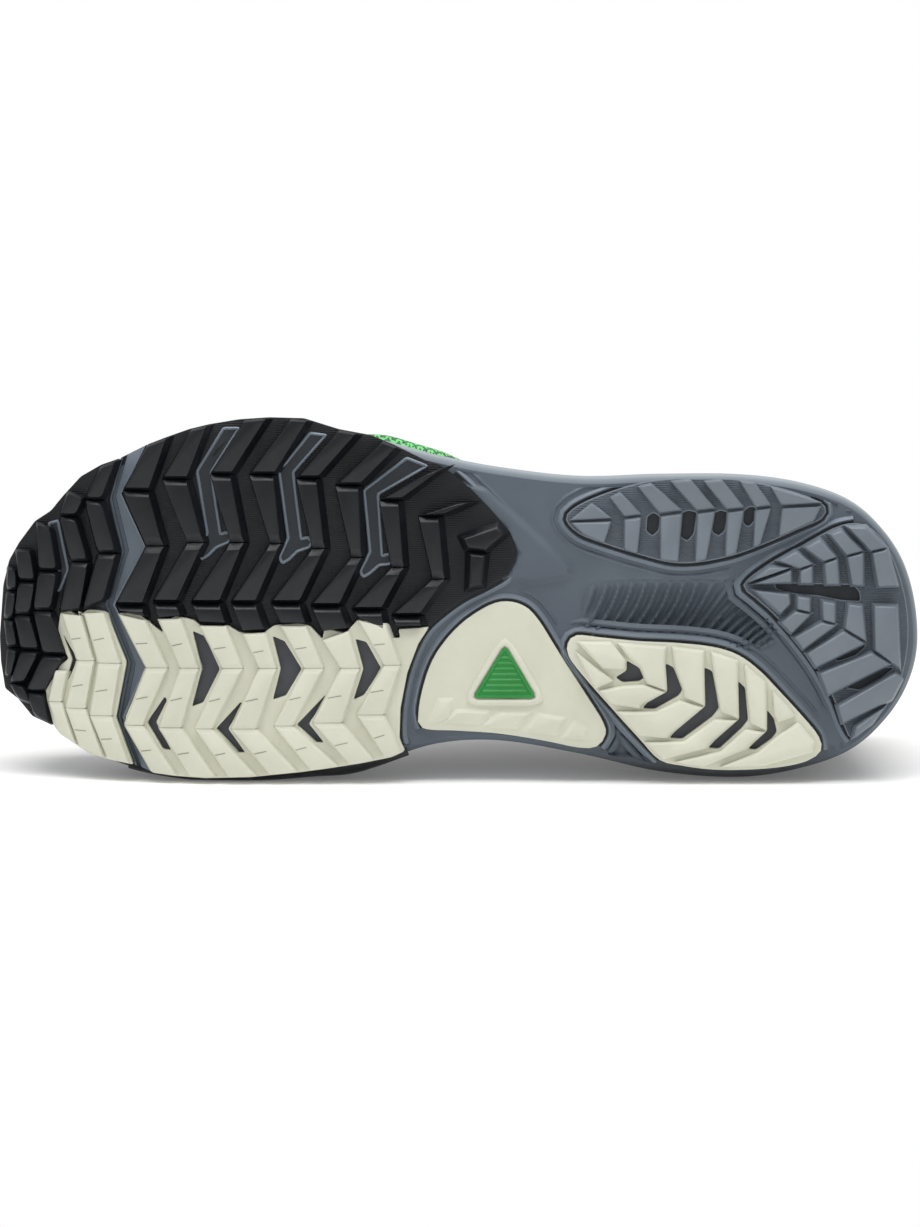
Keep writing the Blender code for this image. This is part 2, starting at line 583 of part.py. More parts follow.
def make_heel_counter():
    high = INSTEP_HEIGHT
    shape = (Side(-6, -0.3 * high), Side(26, -0.3 * high), Side(24, 0.26 * high), Side(16, 0.36 * high),
             Side(9, 0.52 * high), Side(4, 0.66 * high), Side(-6, 0.70 * high))
    return make_overlay("heel_counter", side_cutter("heel_counter_cutter", shape))


def make_eyestay():
    """The lace stay goes round the throat in one piece, a band's width outside the throat's edge."""
    percents = (37.2, 42, 48, 54, 60, 65.5)
    band = LENGTH * 0.052
    rows = []
    for percent in percents:
        rows.append([wall_point(turn, 4) for turn in (angle(percent), 2 * math.pi - angle(percent))])
    lateral = [Vector((row[0].x, row[0].y + band)) for row in rows]
    medial = [Vector((row[1].x, row[1].y - band)) for row in rows]
    front = centre(angle(THROAT_FRONT + 5.5))
    points = lateral + [Vector((front.x, front.y - RIDGE_SHIFT + band * 0.45)),
                        Vector((front.x, front.y - RIDGE_SHIFT - band * 0.45))] + medial[::-1]
    floor = max(bed(along(percent)) for percent in percents) + 0.25 * INSTEP_HEIGHT
    body = prism(points, floor, 2 * INSTEP_HEIGHT)
    return make_overlay("eyestay", add_object("eyestay_cutter", body, smooth=False))


def pad(name, outer_rows, inner_rows):
    """A closed slab between two matching grids of points."""
    body = bmesh.new()
    sheets = [[[body.verts.new(point) for point in row] for row in rows] for rows in (outer_rows, inner_rows)]
    last_row, last_point = len(outer_rows) - 1, len(outer_rows[0]) - 1
    for sheet in sheets:
        for row in range(last_row):
            for spot in range(last_point):
                body.faces.new((sheet[row][spot], sheet[row][spot + 1],
                                sheet[row + 1][spot + 1], sheet[row + 1][spot]))
    rim = [(0, spot) for spot in range(last_point)] + [(row, last_point) for row in range(last_row)]
    rim += [(last_row, spot) for spot in range(last_point, 0, -1)]
    rim += [(row, 0) for row in range(last_row, 0, -1)]
    for here, there in zip(rim, rim[1:] + rim[:1]):
        outer, inner = sheets
        body.faces.new((outer[here[0]][here[1]], outer[there[0]][there[1]],
                        inner[there[0]][there[1]], inner[here[0]][here[1]]))
    turn_out(body)
    return add_object(name, body)


def make_tongue():
    """A padded tongue under the eyestays, from inside the vamp to over the collar, where it stands up."""
    lying = ((66.6, 0), (62, 0), (57, 0), (52, 0), (47, 0), (42.5, 0), (39.5, 0))
    standing = ((37.8, 0.1), (36.6, 0.28), (35.4, 0.52), (34.4, 0.78), (33.6, 1))
    swings = (0.98, 0.82, 0.6, 0.45, 0.24, 0, -0.24, -0.45, -0.6, -0.82, -0.98)
    sink = UPPER_WALL + 4.5 * GAP
    forward = Vector((0.74, 0, 0.67))

    outer, inner = [], []
    for percent, rise in lying + standing:
        outer.append([])
        inner.append([])
        for swing in swings:
            stand = max(0.0, 1 - (swing / EDGE_SWING) ** 4)
            face = instep_point(percent, swing, -sink)
            back = instep_point(percent, swing, -sink - TONGUE_THICKNESS) - face
            turned = min(rise * 4, 1) * stand
            back = back.lerp(-forward * TONGUE_THICKNESS, turned)
            face.z += TONGUE_TOP * rise * stand
            outer[-1].append(face)
            inner[-1].append(face + back)
    return pad("tongue", outer, inner)


def lace_run(body, start, end):
    """One flat lace run over the instep between two (percent, swing) ends."""
    reach = (GAP + OVERLAY_WALL) * 1.3 + 2 * GAP
    steps = 8
    rows = []
    for step in range(steps + 1):
        share = step / steps
        percent = start[0] + (end[0] - start[0]) * share
        swing = start[1] + (end[1] - start[1]) * share
        low = instep_point(percent, swing, reach)
        high = instep_point(percent, swing, reach + LACE_THICKNESS)
        rows.append((low, high))
    travel = (rows[-1][0] - rows[0][0]).normalized()
    rings = []
    for low, high in rows:
        wide = travel.cross(high - low).normalized() * LACE_WIDTH / 2
        rings.append([body.verts.new(point) for point in (low - wide, low + wide, high + wide, high - wide)])
    for first, second in zip(rings, rings[1:]):
        for index in range(4):
            after = (index + 1) % 4
            body.faces.new((first[index], first[after], second[after], second[index]))
    body.faces.new(rings[0][::-1])
    body.faces.new(rings[-1])


def join_by_union(piece, others, solver="EXACT"):
    for index, other in enumerate(others):
        union = piece.modifiers.new("join_%d" % index, "BOOLEAN")
        union.operation = "UNION"
        union.solver = solver
        union.object = as_cutter(other)
    return piece


def make_laces():
    """Laces crossed over the tongue, with a straight bar at the front. The ends stop at the top eyelets."""
    swing = EDGE_SWING + (4 - EYELET_LEVEL)
    runs = []
    for row, (upper_row, lower_row) in enumerate(zip(EYELET_ROWS, EYELET_ROWS[1:])):
        runs.append(((upper_row, swing), (lower_row, -swing)))
        runs.append(((upper_row, -swing), (lower_row, swing)))
    runs.append(((EYELET_ROWS[-1], swing), (EYELET_ROWS[-1], -swing)))
    pieces = []
    for index, (start, end) in enumerate(runs):
        body = bmesh.new()
        lace_run(body, start, end)
        turn_out(body)
        pieces.append(add_object("laces" if index == 0 else "lace_run_%d" % index, body))
    return join_by_union(pieces[0], pieces[1:], "MANIFOLD")


def rounded(spots, per_spot=2):
    """A closed curve through the spots of a pod, as vectors in metres."""
    corners = straight(spots)
    count = len(spots)
    points = []
    for index in range(count):
        four = [corners[(index + step) % count] for step in (-1, 0, 1, 2)]
        for part in range(per_spot):
            share = part / per_spot
            points.append(0.5 * (2 * four[1] + (four[2] - four[0]) * share
                                 + (2 * four[0] - 5 * four[1] + 4 * four[2] - four[3]) * share ** 2
                                 + (3 * four[1] - four[0] - 3 * four[2] + four[3]) * share ** 3))
    return points


def straight(spots):
    return [Vector((along(spot.along), across(spot.across))) for spot in spots]


def hang_from_foam(body):
    """Bends a flat pod to the sole: its heights are depths below the foam, so its tips follow the ground."""
    for vert in body.verts:
        vert.co.z += ground(vert.co.x) + POD_PLATE + LUG_DEPTH


def pod_plate(points):
    body = prism(points, -POD_PLATE, 0)
    spacing = LENGTH / 34
    low = min(point.x for point in points)
    high = max(point.x for point in points)
    for index in range(1, int((high - low) / spacing) + 1):
        geometry = body.verts[:] + body.edges[:] + body.faces[:]
        place = (low + index * spacing, 0, 0)
        bmesh.ops.bisect_plane(body, geom=geometry, plane_co=place, plane_no=(1, 0, 0))
    hang_from_foam(body)
    return body


def lug_band(corners):
    """One zigzag lug row with drafted sides, sunk half a plate into its pod."""
    def outline_at(draft):
        front, back = [], []
        for index, corner in enumerate(corners):
            y = across(corner.across)
            y -= draft if index == 0 else 0
            y += draft if index == len(corners) - 1 else 0
            x = along(corner.front)
            front.append(Vector((x - draft, y)))
            back.append(Vector((x - along(corner.width) + draft, y)))
        return front + back[::-1]

    body = bmesh.new()
    base = [body.verts.new((*point, -POD_PLATE / 2)) for point in outline_at(0)]
    tip = [body.verts.new((*point, -POD_PLATE - LUG_DEPTH)) for point in outline_at(LUG_DRAFT)]
    count = len(corners)
    for index in range(2 * count):
        after = (index + 1) % (2 * count)
        body.faces.new((base[index], base[after], tip[after], tip[index]))
    for ring in (base, tip):
        for index in range(count - 1):
            across_from = 2 * count - 1 - index
            body.faces.new((ring[index], ring[index + 1], ring[across_from - 1], ring[across_from]))
    turn_out(body)
    hang_from_foam(body)
    return body


def make_pod(name, points, lug_rows, extras=(), solver="EXACT"):
    piece = add_object(name, pod_plate(points), smooth=False)
    lugs = bmesh.new()
    for corners in lug_rows:
        band = lug_band(corners)
        scratch = bpy.data.meshes.new("band")
        band.to_mesh(scratch)
        band.free()
        lugs.from_mesh(scratch)
        bpy.data.meshes.remove(scratch)
    return join_by_union(piece, [add_object(name + "_lugs", lugs, smooth=False), *extras], solver)


def badge_frame():
    """The raised frame round the triangle on the waist pod."""
    corners = straight(BADGE)
    middle = sum(corners, Vector((0, 0))) / 3
    outer = [middle + (corner - middle) * 1.42 for corner in corners]
    inner = [middle + (corner - middle) * 1.08 for corner in corners]
    body = bmesh.new()
    heights = (-POD_PLATE / 2, -POD_PLATE - FRAME_DEPTH)
    loops = []
    for height in heights:
        loops += [[body.verts.new((*point, height)) for point in ring] for ring in (outer, inner)]
    pairs = ((0, 1), (1, 3), (3, 2), (2, 0))
    for first, second in pairs:
        for index in range(3):
            after = (index + 1) % 3
            body.faces.new((loops[first][index], loops[first][after],
                            loops[second][after], loops[second][index]))
    turn_out(body)
    hang_from_foam(body)
    return add_object("badge_frame", body, smooth=False)


def make_badge():
    body = prism(straight(BADGE), -POD_PLATE - 2 * GAP - BADGE_PLATE, -POD_PLATE - 2 * GAP)
    hang_from_foam(body)
    return add_object("waist_badge", body, smooth=False)


def volume_and_moment(piece):
    """Volume of a closed piece and its volume times its centre."""
    evaluated = piece.evaluated_get(bpy.context.evaluated_depsgraph_get())
    mesh = evaluated.to_mesh()
    mesh.calc_loop_triangles()
    volume, moment = 0.0, Vector()
    for triangle in mesh.loop_triangles:
        first, second, third = (mesh.vertices[index].co for index in triangle.vertices)
        part = first.dot(second.cross(third)) / 6
        volume += part
        moment += part * (first + second + third) / 4
    corners = [vert.co.copy() for vert in mesh.vertices]
    evaluated.to_mesh_clear()
    return volume, moment, corners


def resting_turn(pieces):
    """The turn that lays the shoe on its medial side, on the hull face that its weight comes to rest on."""
    mass, moment, corners = 0.0, Vector(), []
    for piece in pieces:
        volume, part, spots = volume_and_moment(piece)
        mass += volume
        moment += part
        corners += spots
    weight = moment / mass
    hull = bmesh.new()
    for corner in corners:
        hull.verts.new(corner)
    bmesh.ops.convex_hull(hull, input=hull.verts[:])
    bmesh.ops.triangulate(hull, faces=hull.faces[:])
    best = None
    for face in hull.faces:
        normal = face.normal if face.normal.dot(face.verts[0].co - weight) > 0 else -face.normal
        if normal.y > -0.5:
            continue
        foot = weight + normal * normal.dot(face.verts[0].co - weight)
        spots = [vert.co for vert in face.verts]
        inside = True
        for index in range(3):
            side = (spots[(index + 1) % 3] - spots[index]).cross(foot - spots[index]).dot(normal)
            turned = (spots[1] - spots[0]).cross(spots[2] - spots[0]).dot(normal)
            inside = inside and side * turned >= 0
        if inside and (best is None or normal.y < best.y):
            best = normal.copy()
    hull.free()
    return best if best is not None else Vector((0, -1, 0))


def lay_down(pieces):
    """Turns the shoe onto its side: sole to the front (-Y), toe to the left (-X), resting on z = 0."""
    down = resting_turn(pieces)
    up = -down
    toe = Vector((1, 0, 0))
    toe = (toe - up * toe.dot(up)).normalized()
    shoe_axes = Matrix((-toe, toe.cross(up).normalized(), up)).to_4x4()
    corners = []
    for piece in pieces:
        corners += [shoe_axes @ corner for corner in volume_and_moment(piece)[2]]
    low = Vector([min(corner[axis] for corner in corners) for axis in range(3)])
    high = Vector([max(corner[axis] for corner in corners) for axis in range(3)])
    holder = bpy.data.objects.new("lying_shoe", None)
    bpy.context.collection.objects.link(holder)
    shift = Vector((-(low.x + high.x) / 2, -(low.y + high.y) / 2, -low.z))
    holder.matrix_world = Matrix.Translation(shift) @ shoe_axes
    for piece in bpy.data.objects:
        if piece.type == "MESH":
            piece.parent = holder
    bpy.context.view_layer.update()


FOAM_GREY = (0.42, 0.45, 0.49)
BLACK_RUBBER = (0.10, 0.10, 0.11)
PALE_RUBBER = (0.85, 0.84, 0.79)
GREY_RUBBER = (0.37, 0.40, 0.44)
CHARCOAL_KNIT = (0.16, 0.17, 0.18)
LIME_GREEN = (0.31, 0.72, 0.35)
SOFT_GREY = (0.55, 0.57, 0.60)

pieces = [
    paint(make_midsole(), "midsole foam", FOAM_GREY, 0.75),
    paint(make_insole(), "insole textile", SOFT_GREY, 0.95),
    paint(make_upper(), "upper mesh", CHARCOAL_KNIT, 0.9),
    paint(make_tongue(), "tongue textile", CHARCOAL_KNIT, 0.95),
    paint(make_toe_cap(), "toe cap film", BLACK_RUBBER, 0.5),
    paint(make_heel_counter(), "heel counter film", BLACK_RUBBER, 0.5),
    paint(make_eyestay(), "eyestay film", LIME_GREEN, 0.6),
    paint(make_laces(), "laces", SOFT_GREY, 0.9),
    paint(make_pod("outsole_toe", straight(TOE_POD), TOE_LUGS, solver="MANIFOLD"), "black rubber",
          BLACK_RUBBER, 0.6),
    paint(make_pod("outsole_lateral", straight(LATERAL_POD), LATERAL_LUGS), "black rubber",
          BLACK_RUBBER, 0.6),
    paint(make_pod("outsole_medial_front", straight(MEDIAL_FRONT_POD), MEDIAL_FRONT_LUGS), "pale rubber",
          PALE_RUBBER, 0.7),
    paint(make_pod("outsole_medial_rear", straight(MEDIAL_REAR_POD), MEDIAL_REAR_LUGS), "pale rubber",
          PALE_RUBBER, 0.7),
    paint(make_pod("outsole_waist", rounded(MIDFOOT_POD), MIDFOOT_LUGS, (badge_frame(),)), "pale rubber",
          PALE_RUBBER, 0.7),
    paint(make_badge(), "green rubber", LIME_GREEN, 0.5),
    paint(make_pod("outsole_heel_medial", rounded(HEEL_MEDIAL_POD), HEEL_MEDIAL_LUGS), "pale rubber",
          PALE_RUBBER, 0.7),
    paint(make_pod("outsole_heel_lateral", rounded(HEEL_LATERAL_POD), HEEL_LATERAL_LUGS), "grey rubber",
          GREY_RUBBER, 0.65),
    paint(make_pod("outsole_heel_rear", rounded(HEEL_REAR_POD), HEEL_REAR_LUGS), "grey rubber",
          GREY_RUBBER, 0.65),
]
lay_down(pieces)
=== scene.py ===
"""Looks of the trail running shoe: moulded sole, lasted knit upper, laces, lining, light and camera.

Every piece is built in the shoe's own frame, x from heel to toe, y to the lateral side, z up from the tread,
and is then laid on its medial side by LYING. Places on the sole are read from the photograph: a pair (px,
py) is the pixel that the spot has there. Depths on the sole are heights over the foam's underside, towards
the ground.
"""

import math
from collections import namedtuple
from functools import partial

import bmesh
import bpy
from mathutils import Matrix, Vector
from mathutils.geometry import delaunay_2d_cdt


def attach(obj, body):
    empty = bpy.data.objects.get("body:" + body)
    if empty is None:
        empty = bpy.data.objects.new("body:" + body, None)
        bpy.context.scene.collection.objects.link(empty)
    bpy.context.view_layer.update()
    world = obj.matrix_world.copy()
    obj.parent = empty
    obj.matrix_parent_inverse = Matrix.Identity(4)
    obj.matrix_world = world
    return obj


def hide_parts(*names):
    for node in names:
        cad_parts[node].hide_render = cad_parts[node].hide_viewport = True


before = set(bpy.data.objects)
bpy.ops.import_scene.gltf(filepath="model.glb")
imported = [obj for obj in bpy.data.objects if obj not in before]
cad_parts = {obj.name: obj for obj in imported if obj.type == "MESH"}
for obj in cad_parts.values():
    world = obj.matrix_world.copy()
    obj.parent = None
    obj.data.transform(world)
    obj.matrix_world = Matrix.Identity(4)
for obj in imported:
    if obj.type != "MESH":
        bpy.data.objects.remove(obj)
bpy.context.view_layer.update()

# Sizes that part.py has too, in metres
LENGTH = 0.303
BALL_WIDTH = 0.120
HEEL_STACK = 0.034
FOREFOOT_STACK = 0.026
TOE_SPRING = 0.024
HEEL_BEVEL = 0.007
WAIST_RISE = 0.0012
ARCH_HOLLOW = 0.0075
INSTEP_HEIGHT = 0.078
RIDGE_SHIFT = 0.0036
UPPER_WALL = 0.0026
RIM_WALL = 0.0046
RIM_RISE = 0.012
TONGUE_THICKNESS = 0.0050
TONGUE_TOP = 0.026
TONGUE_CROWN = 0.0030
GAP = 0.0003

# Heights over the foam's underside: a pod's plate and its lug tips
PLATE = 0.0021
TIP = 0.0059

# Where the photograph has the sole: the heel's end, the middle line, and the length and width in pixels
HEEL_PX, MIDLINE_PX = 917, 610
LONG_PX, WIDE_PX = 912, 361
MIDDLE = Vector((0.1336, -0.0012))
# The tread stands nearer to the camera by this share; the camera's distance is in metres
NEARER = 0.0195
CAMERA_DISTANCE = 1.558

# The shoe's axes as it lies on its medial side
LYING = Matrix((
    (-0.999999, -0.001527, 0.000089, 0.151482),
    (0.0, 0.058502, 0.998287, -0.060637),
    (-0.001529, 0.998286, -0.058501, 0.057064),
    (0.0, 0.0, 0.0, 1.0),
))

# The foot's outline and its sections, as shares of the length and width
HEEL_CENTRE = 14.0
TOE_CENTRE = 86.0
THROAT_FRONT = 68.5
Edge = namedtuple("Edge", "along lateral medial")
OUTLINE = [Edge(*row) for row in (
    (0.0, -8.3, 8.3), (1.3, 10.5, 22.2), (3.5, 20.2, 30.5), (7.3, 29.1, 38.8), (12.8, 34.3, 44.0),
    (19.4, 36.6, 46.5), (28.2, 36.8, 44.9), (37.0, 36.3, 39.9), (45.7, 38.8, 36.3), (52.3, 42.1, 37.0),
    (58.9, 46.6, 41.8), (67.1, 50.4, 45.6), (74.2, 50.4, 46.6), (79.7, 48.0, 46.2), (86.3, 41.4, 43.2),
    (91.8, 33.0, 37.2), (96.2, 21.8, 28.6), (98.8, 12.0, 21.0), (100.0, -8.3, 8.3),
)]
Rim = namedtuple("Rim", "along rise")
RIM = [Rim(*row) for row in (
    (0, 1.0), (12, 0.92), (35, 0.75), (50, 0.65), (70, 0.42), (90, 0.42), (100, 0.55),
)]
Section = namedtuple("Section", "along height low mid high edge")
SECTIONS = [Section(*row) for row in (
    (0, 0.86, 1.02, 1.0, 0.92, 0.93), (6, 0.84, 1.03, 1.0, 0.91, 0.9), (15, 0.66, 1.03, 0.98, 0.84, 0.79),
    (24, 0.67, 1.03, 0.96, 0.77, 0.7), (32, 0.83, 1.02, 0.93, 0.69, 0.54), (38, 1.0, 1.02, 0.9, 0.62, 0.37),
    (46, 0.94, 1.02, 0.9, 0.63, 0.35), (56, 0.81, 1.03, 0.92, 0.66, 0.3), (64, 0.7, 1.03, 0.94, 0.7, 0.25),
    (69, 0.64, 1.03, 0.95, 0.73, 0.14), (78, 0.55, 1.02, 0.95, 0.75, 0.0), (86, 0.47, 1.01, 0.92, 0.7, 0.0),
    (94, 0.47, 0.99, 0.86, 0.58, 0.0), (100, 0.47, 0.98, 0.82, 0.5, 0.0),
)]


def along(percent):
    return LENGTH * percent / 100


def across(percent):
    return BALL_WIDTH * percent / 100


def ease(value):
    value = min(max(value, 0.0), 1.0)
    return value * value * (3 - 2 * value)


def angle(percent):
    """The turn round the outline at a percentage along the shoe; percent_of gives it back."""
    return math.acos(1 - 2 * min(max(percent / 100, 0.0), 1.0))


def through(knots, values, at):
    """A smooth curve through the values at the knots."""
    last = len(knots) - 1
    at = min(max(at, knots[0]), knots[-1])
    first = next(index for index in range(last) if at <= knots[index + 1])
    span = knots[first + 1] - knots[first]
    step = (at - knots[first]) / span

    def slope(index):
        before, after = max(index - 1, 0), min(index + 1, last)
        return (values[after] - values[before]) / (knots[after] - knots[before])

    rise_a, rise_b = slope(first) * span, slope(first + 1) * span
    value_a, value_b = values[first], values[first + 1]
    cubic = (2 * value_a - 2 * value_b + rise_a + rise_b) * step
    square = 3 * value_b - 3 * value_a - 2 * rise_a - rise_b
    return ((cubic + square) * step + rise_a) * step + value_a


def column(rows, name):
    """A smooth curve through one column of a table, by the percentage along the shoe."""
    knots = [angle(row.along) for row in rows]
    values = [getattr(row, name) for row in rows]
    return lambda percent: through(knots, values, angle(percent))


EDGES = {1: column(OUTLINE, "lateral"), -1: column(OUTLINE, "medial")}
RIM_CURVE = column(RIM, "rise")
UPPER_CURVES = {name: column(SECTIONS, name) for name in Section._fields[1:]}


def percent_at(x):
    return 100 * x / LENGTH


def bell(value):
    return math.exp(-value * value)


def percent_of(turn):
    return 50 * (1 - math.cos(turn))


def ground(x):
    """How far the lug tips stand over the flat ground: toe spring, heel bevel and the lifted waist."""
    percent = percent_at(x)
    spring = TOE_SPRING * max(0.0, (percent - 72) / 28) ** 2
    bevel = HEEL_BEVEL * max(0.0, (11 - percent) / 11) ** 2
    waist = WAIST_RISE * math.sin(math.pi * min(max((percent - 37) / 18, 0), 1)) ** 2
    return spring + bevel + waist


def spot(px, py):
    """A pixel of the photograph as a place on the sole. The tread stands nearer to the camera than the
    outline that the sizes are read from, so it looks larger: by NEARER on the flat, by less where the toe
    springs up."""
    place = Vector((LENGTH * (HEEL_PX - px) / LONG_PX, BALL_WIDTH * (MIDLINE_PX - py) / WIDE_PX))
    return MIDDLE + (place - MIDDLE) * (1 - NEARER + ground(place.x) / CAMERA_DISTANCE)


def spots(*pairs):
    return [spot(px, py) for px, py in pairs]


def bed(x):
    """Height of the foot bed over the flat ground."""
    percent = percent_at(x)
    drop = (HEEL_STACK - FOREFOOT_STACK) * ease((70 - percent) / 60)
    return FOREFOOT_STACK + drop + 0.62 * TOE_SPRING * max(0.0, (percent - 72) / 28) ** 2


def rim_rise(x):
    return RIM_RISE * RIM_CURVE(percent_at(x))


def outline(turn):
    """The sole's outline, once round: 0 to pi along the lateral side to the toe, then back along the medial
    side."""
    turn = turn % (2 * math.pi)
    side = 1 if turn <= math.pi else -1
    theta = turn if side == 1 else 2 * math.pi - turn
    percent = percent_of(theta)
    return Vector((along(percent), side * across(EDGES[side](percent))))


def inset_outline(turn, inset):
    nudge = 0.02
    travel = (outline(turn + nudge) - outline(turn - nudge)).normalized()
    return outline(turn) + Vector((travel.y, -travel.x)) * inset


def centre(turn):
    percent = min(max(percent_of(turn), HEEL_CENTRE), TOE_CENTRE)
    middle = (EDGES[1](percent) - EDGES[-1](percent)) / 2
    return Vector((along(percent), across(middle)))


def ring_point(turn, inset, share):
    middle = centre(turn)
    return middle + share * (inset_outline(turn, inset) - middle)


def wall_point(turn, level):
    """Outer face of the upper: level 0 is the foam's rim, 4 the collar's edge, the throat's edge or the
    ridge."""
    percent = percent_of(turn)
    inset = RIM_WALL + 1.3 * GAP
    foot = ring_point(turn, inset, 1.0)
    if level < 0:
        top = Vector((foot.x, foot.y, bed(foot.x) + rim_rise(foot.x) + GAP))
        return top.lerp(Vector((foot.x, foot.y, bed(foot.x) + GAP)), -level)
    height = INSTEP_HEIGHT * UPPER_CURVES["height"](percent)
    rim = rim_rise(foot.x) + GAP
    edge = 0.0 if percent >= THROAT_FRONT else max(UPPER_CURVES["edge"](percent), 0.0)
    closed = 1 - min(edge / 0.25, 1)
    high = UPPER_CURVES["high"](percent)
    outs = (1.0, UPPER_CURVES["low"](percent), UPPER_CURVES["mid"](percent), high, edge, 2 * edge - high)
    rises = (rim, max(0.25 * height, rim + 0.004), 0.55 * height, 0.85 * height, height,
             height * (1.15 - 0.30 * closed))
    knots = (0, 1, 2, 3, 4, 5)
    out = through(knots, outs, level)
    rise = through(knots, rises, level)
    place = ring_point(turn, inset, out)
    shift = RIDGE_SHIFT * (rise / height) ** 2
    return Vector((place.x, place.y - shift, bed(place.x) + rise))


def wall_normal(turn, level):
    nudge = 0.01
    forward = wall_point(turn + nudge, level) - wall_point(turn - nudge, level)
    upward = wall_point(turn, min(level + nudge, 4)) - wall_point(turn, max(level - nudge, 0))
    return upward.cross(forward).normalized()


def instep_point(percent, swing, lift):
    """A point on the closed instep over the throat: swing 1 is the lateral eyestay, -1 the medial one."""
    side = 1 if swing >= 0 else -1
    turns = {1: angle(percent), -1: 2 * math.pi - angle(percent)}
    edges = {s: wall_point(turns[s], 4) for s in turns}
    if abs(swing) > 0.6:
        level = 4 - (abs(swing) - 0.6)
        return wall_point(turns[side], level) + wall_normal(turns[side], level) * lift
    share = swing / 0.6
    middle = (edges[1] + edges[-1]) / 2 + (edges[1] - edges[-1]) * share / 2
    lean = wall_normal(turns[side], 4) * abs(share) + Vector((0.3, 0, 1)).normalized() * (1 - abs(share))
    return middle + Vector((0, 0, TONGUE_CROWN * (1 - share * share))) + lean.normalized() * lift


# Materials


def linear(colour):
    """An sRGB colour such as 6f7682 as linear values."""
    parts = [int(colour[index:index + 2], 16) / 255 for index in (0, 2, 4)]
    values = [part / 12.92 if part <= 0.04045 else ((part + 0.055) / 1.055) ** 2.4 for part in parts]
    return (*values, 1.0)


def add_node(tree, kind, output, inputs, **settings):
    """One node with its settings: an input is a value or the socket that feeds it. Gives back the output."""
    node = tree.nodes.new("ShaderNode" + kind)
    for name, value in settings.items():
        setattr(node, name, value)
    for name, value in inputs.items():
        if isinstance(value, bpy.types.NodeSocket):
            tree.links.new(value, node.inputs[name])
        else:
            node.inputs[name].default_value = value
    return node.outputs[output]


def new_material(name, roughness, **sockets):
    """A material, what adds a node to it, and the shoe's own millimetres, in which its patterns are
    drawn."""
    material = bpy.data.materials.new(name)
    material.use_nodes = True
    shader = material.node_tree.nodes["Principled BSDF"]
    for socket, value in {"Roughness": roughness, **sockets}.items():
        shader.inputs[socket.replace("_", " ")].default_value = value
    add = partial(add_node, material.node_tree)
    place = add("VectorMath", "Vector", {"Vector": add("TexCoord", "Object", {}), "Scale": 1000.0},
                operation="SCALE")
    return material, add, place


def finish_material(material, **sources):
    """Feeds the shader's sockets of those names."""
    tree = material.node_tree
    for socket, source in sources.items():
        tree.links.new(source, tree.nodes["Principled BSDF"].inputs[socket.replace("_", " ")])
    return material


def patches(add, place, scale, detail=3.0, low=0.0, high=1.0, spread=(0.3, 0.7), roughness=0.55):
    """Soft patches about 1 / scale mm wide, between a low and a high value."""
    cloud = add("TexNoise", "Fac",
                {"Vector": place, "Scale": scale, "Detail": detail, "Roughness": roughness})
    return add("MapRange", "Result", {"Value": cloud, "From Min": spread[0], "From Max": spread[1],
                                      "To Min": low, "To Max": high})


def relief(add, place, *layers):
    """Reliefs one over another. Each is a height, or the scale and detail of a grain, with its depth and
    strength."""
    below = {}
    for height, depth, strength in layers:
        if isinstance(height, tuple):
            scale, detail = height
            height = add("TexNoise", "Fac",
                         {"Vector": place, "Scale": scale, "Detail": detail, "Roughness": 0.55})
        below = {"Normal": add("Bump", "Normal",
                               {"Height": height, "Distance": depth, "Strength": strength, **below})}
    return below["Normal"]


def rubber(name, dark, light, roughness, specular=0.5, grain=0.35, ribs=0.0):
    """Compression-moulded outsole rubber: a faint mottling and a satin that wears unevenly. On a groove's
    floor fine ribs are moulded, 0.75 mm apart. The mould's grain is drawn 0.3 mm wide, coarser than it is,
    so that it shows."""
    material, add, place = new_material(name, roughness, Specular_IOR_Level=specular)
    colour = add("Mix", 2, {"Factor": patches(add, place, 0.06, 4.0), 6: linear(dark), 7: linear(light)},
                 data_type="RGBA")
    layers = [((3.2, 4.0), 0.00012, grain), ((0.35, 2.0), 0.0004, 0.18)]
    if ribs:
        for way, scale, depth, strength in (("Z", 0.42, 0.00022, ribs), ("X", 0.16, 0.00012, ribs * 0.5)):
            bands = add("TexWave", "Fac", {"Vector": place, "Scale": scale, "Detail": 1.0},
                        bands_direction=way)
            layers.append((bands, depth, strength))
    return finish_material(material, Base_Color=colour, Normal=relief(add, place, *layers),
                           Roughness=patches(add, place, 0.25, 3.0, roughness - 0.07, roughness + 0.09))


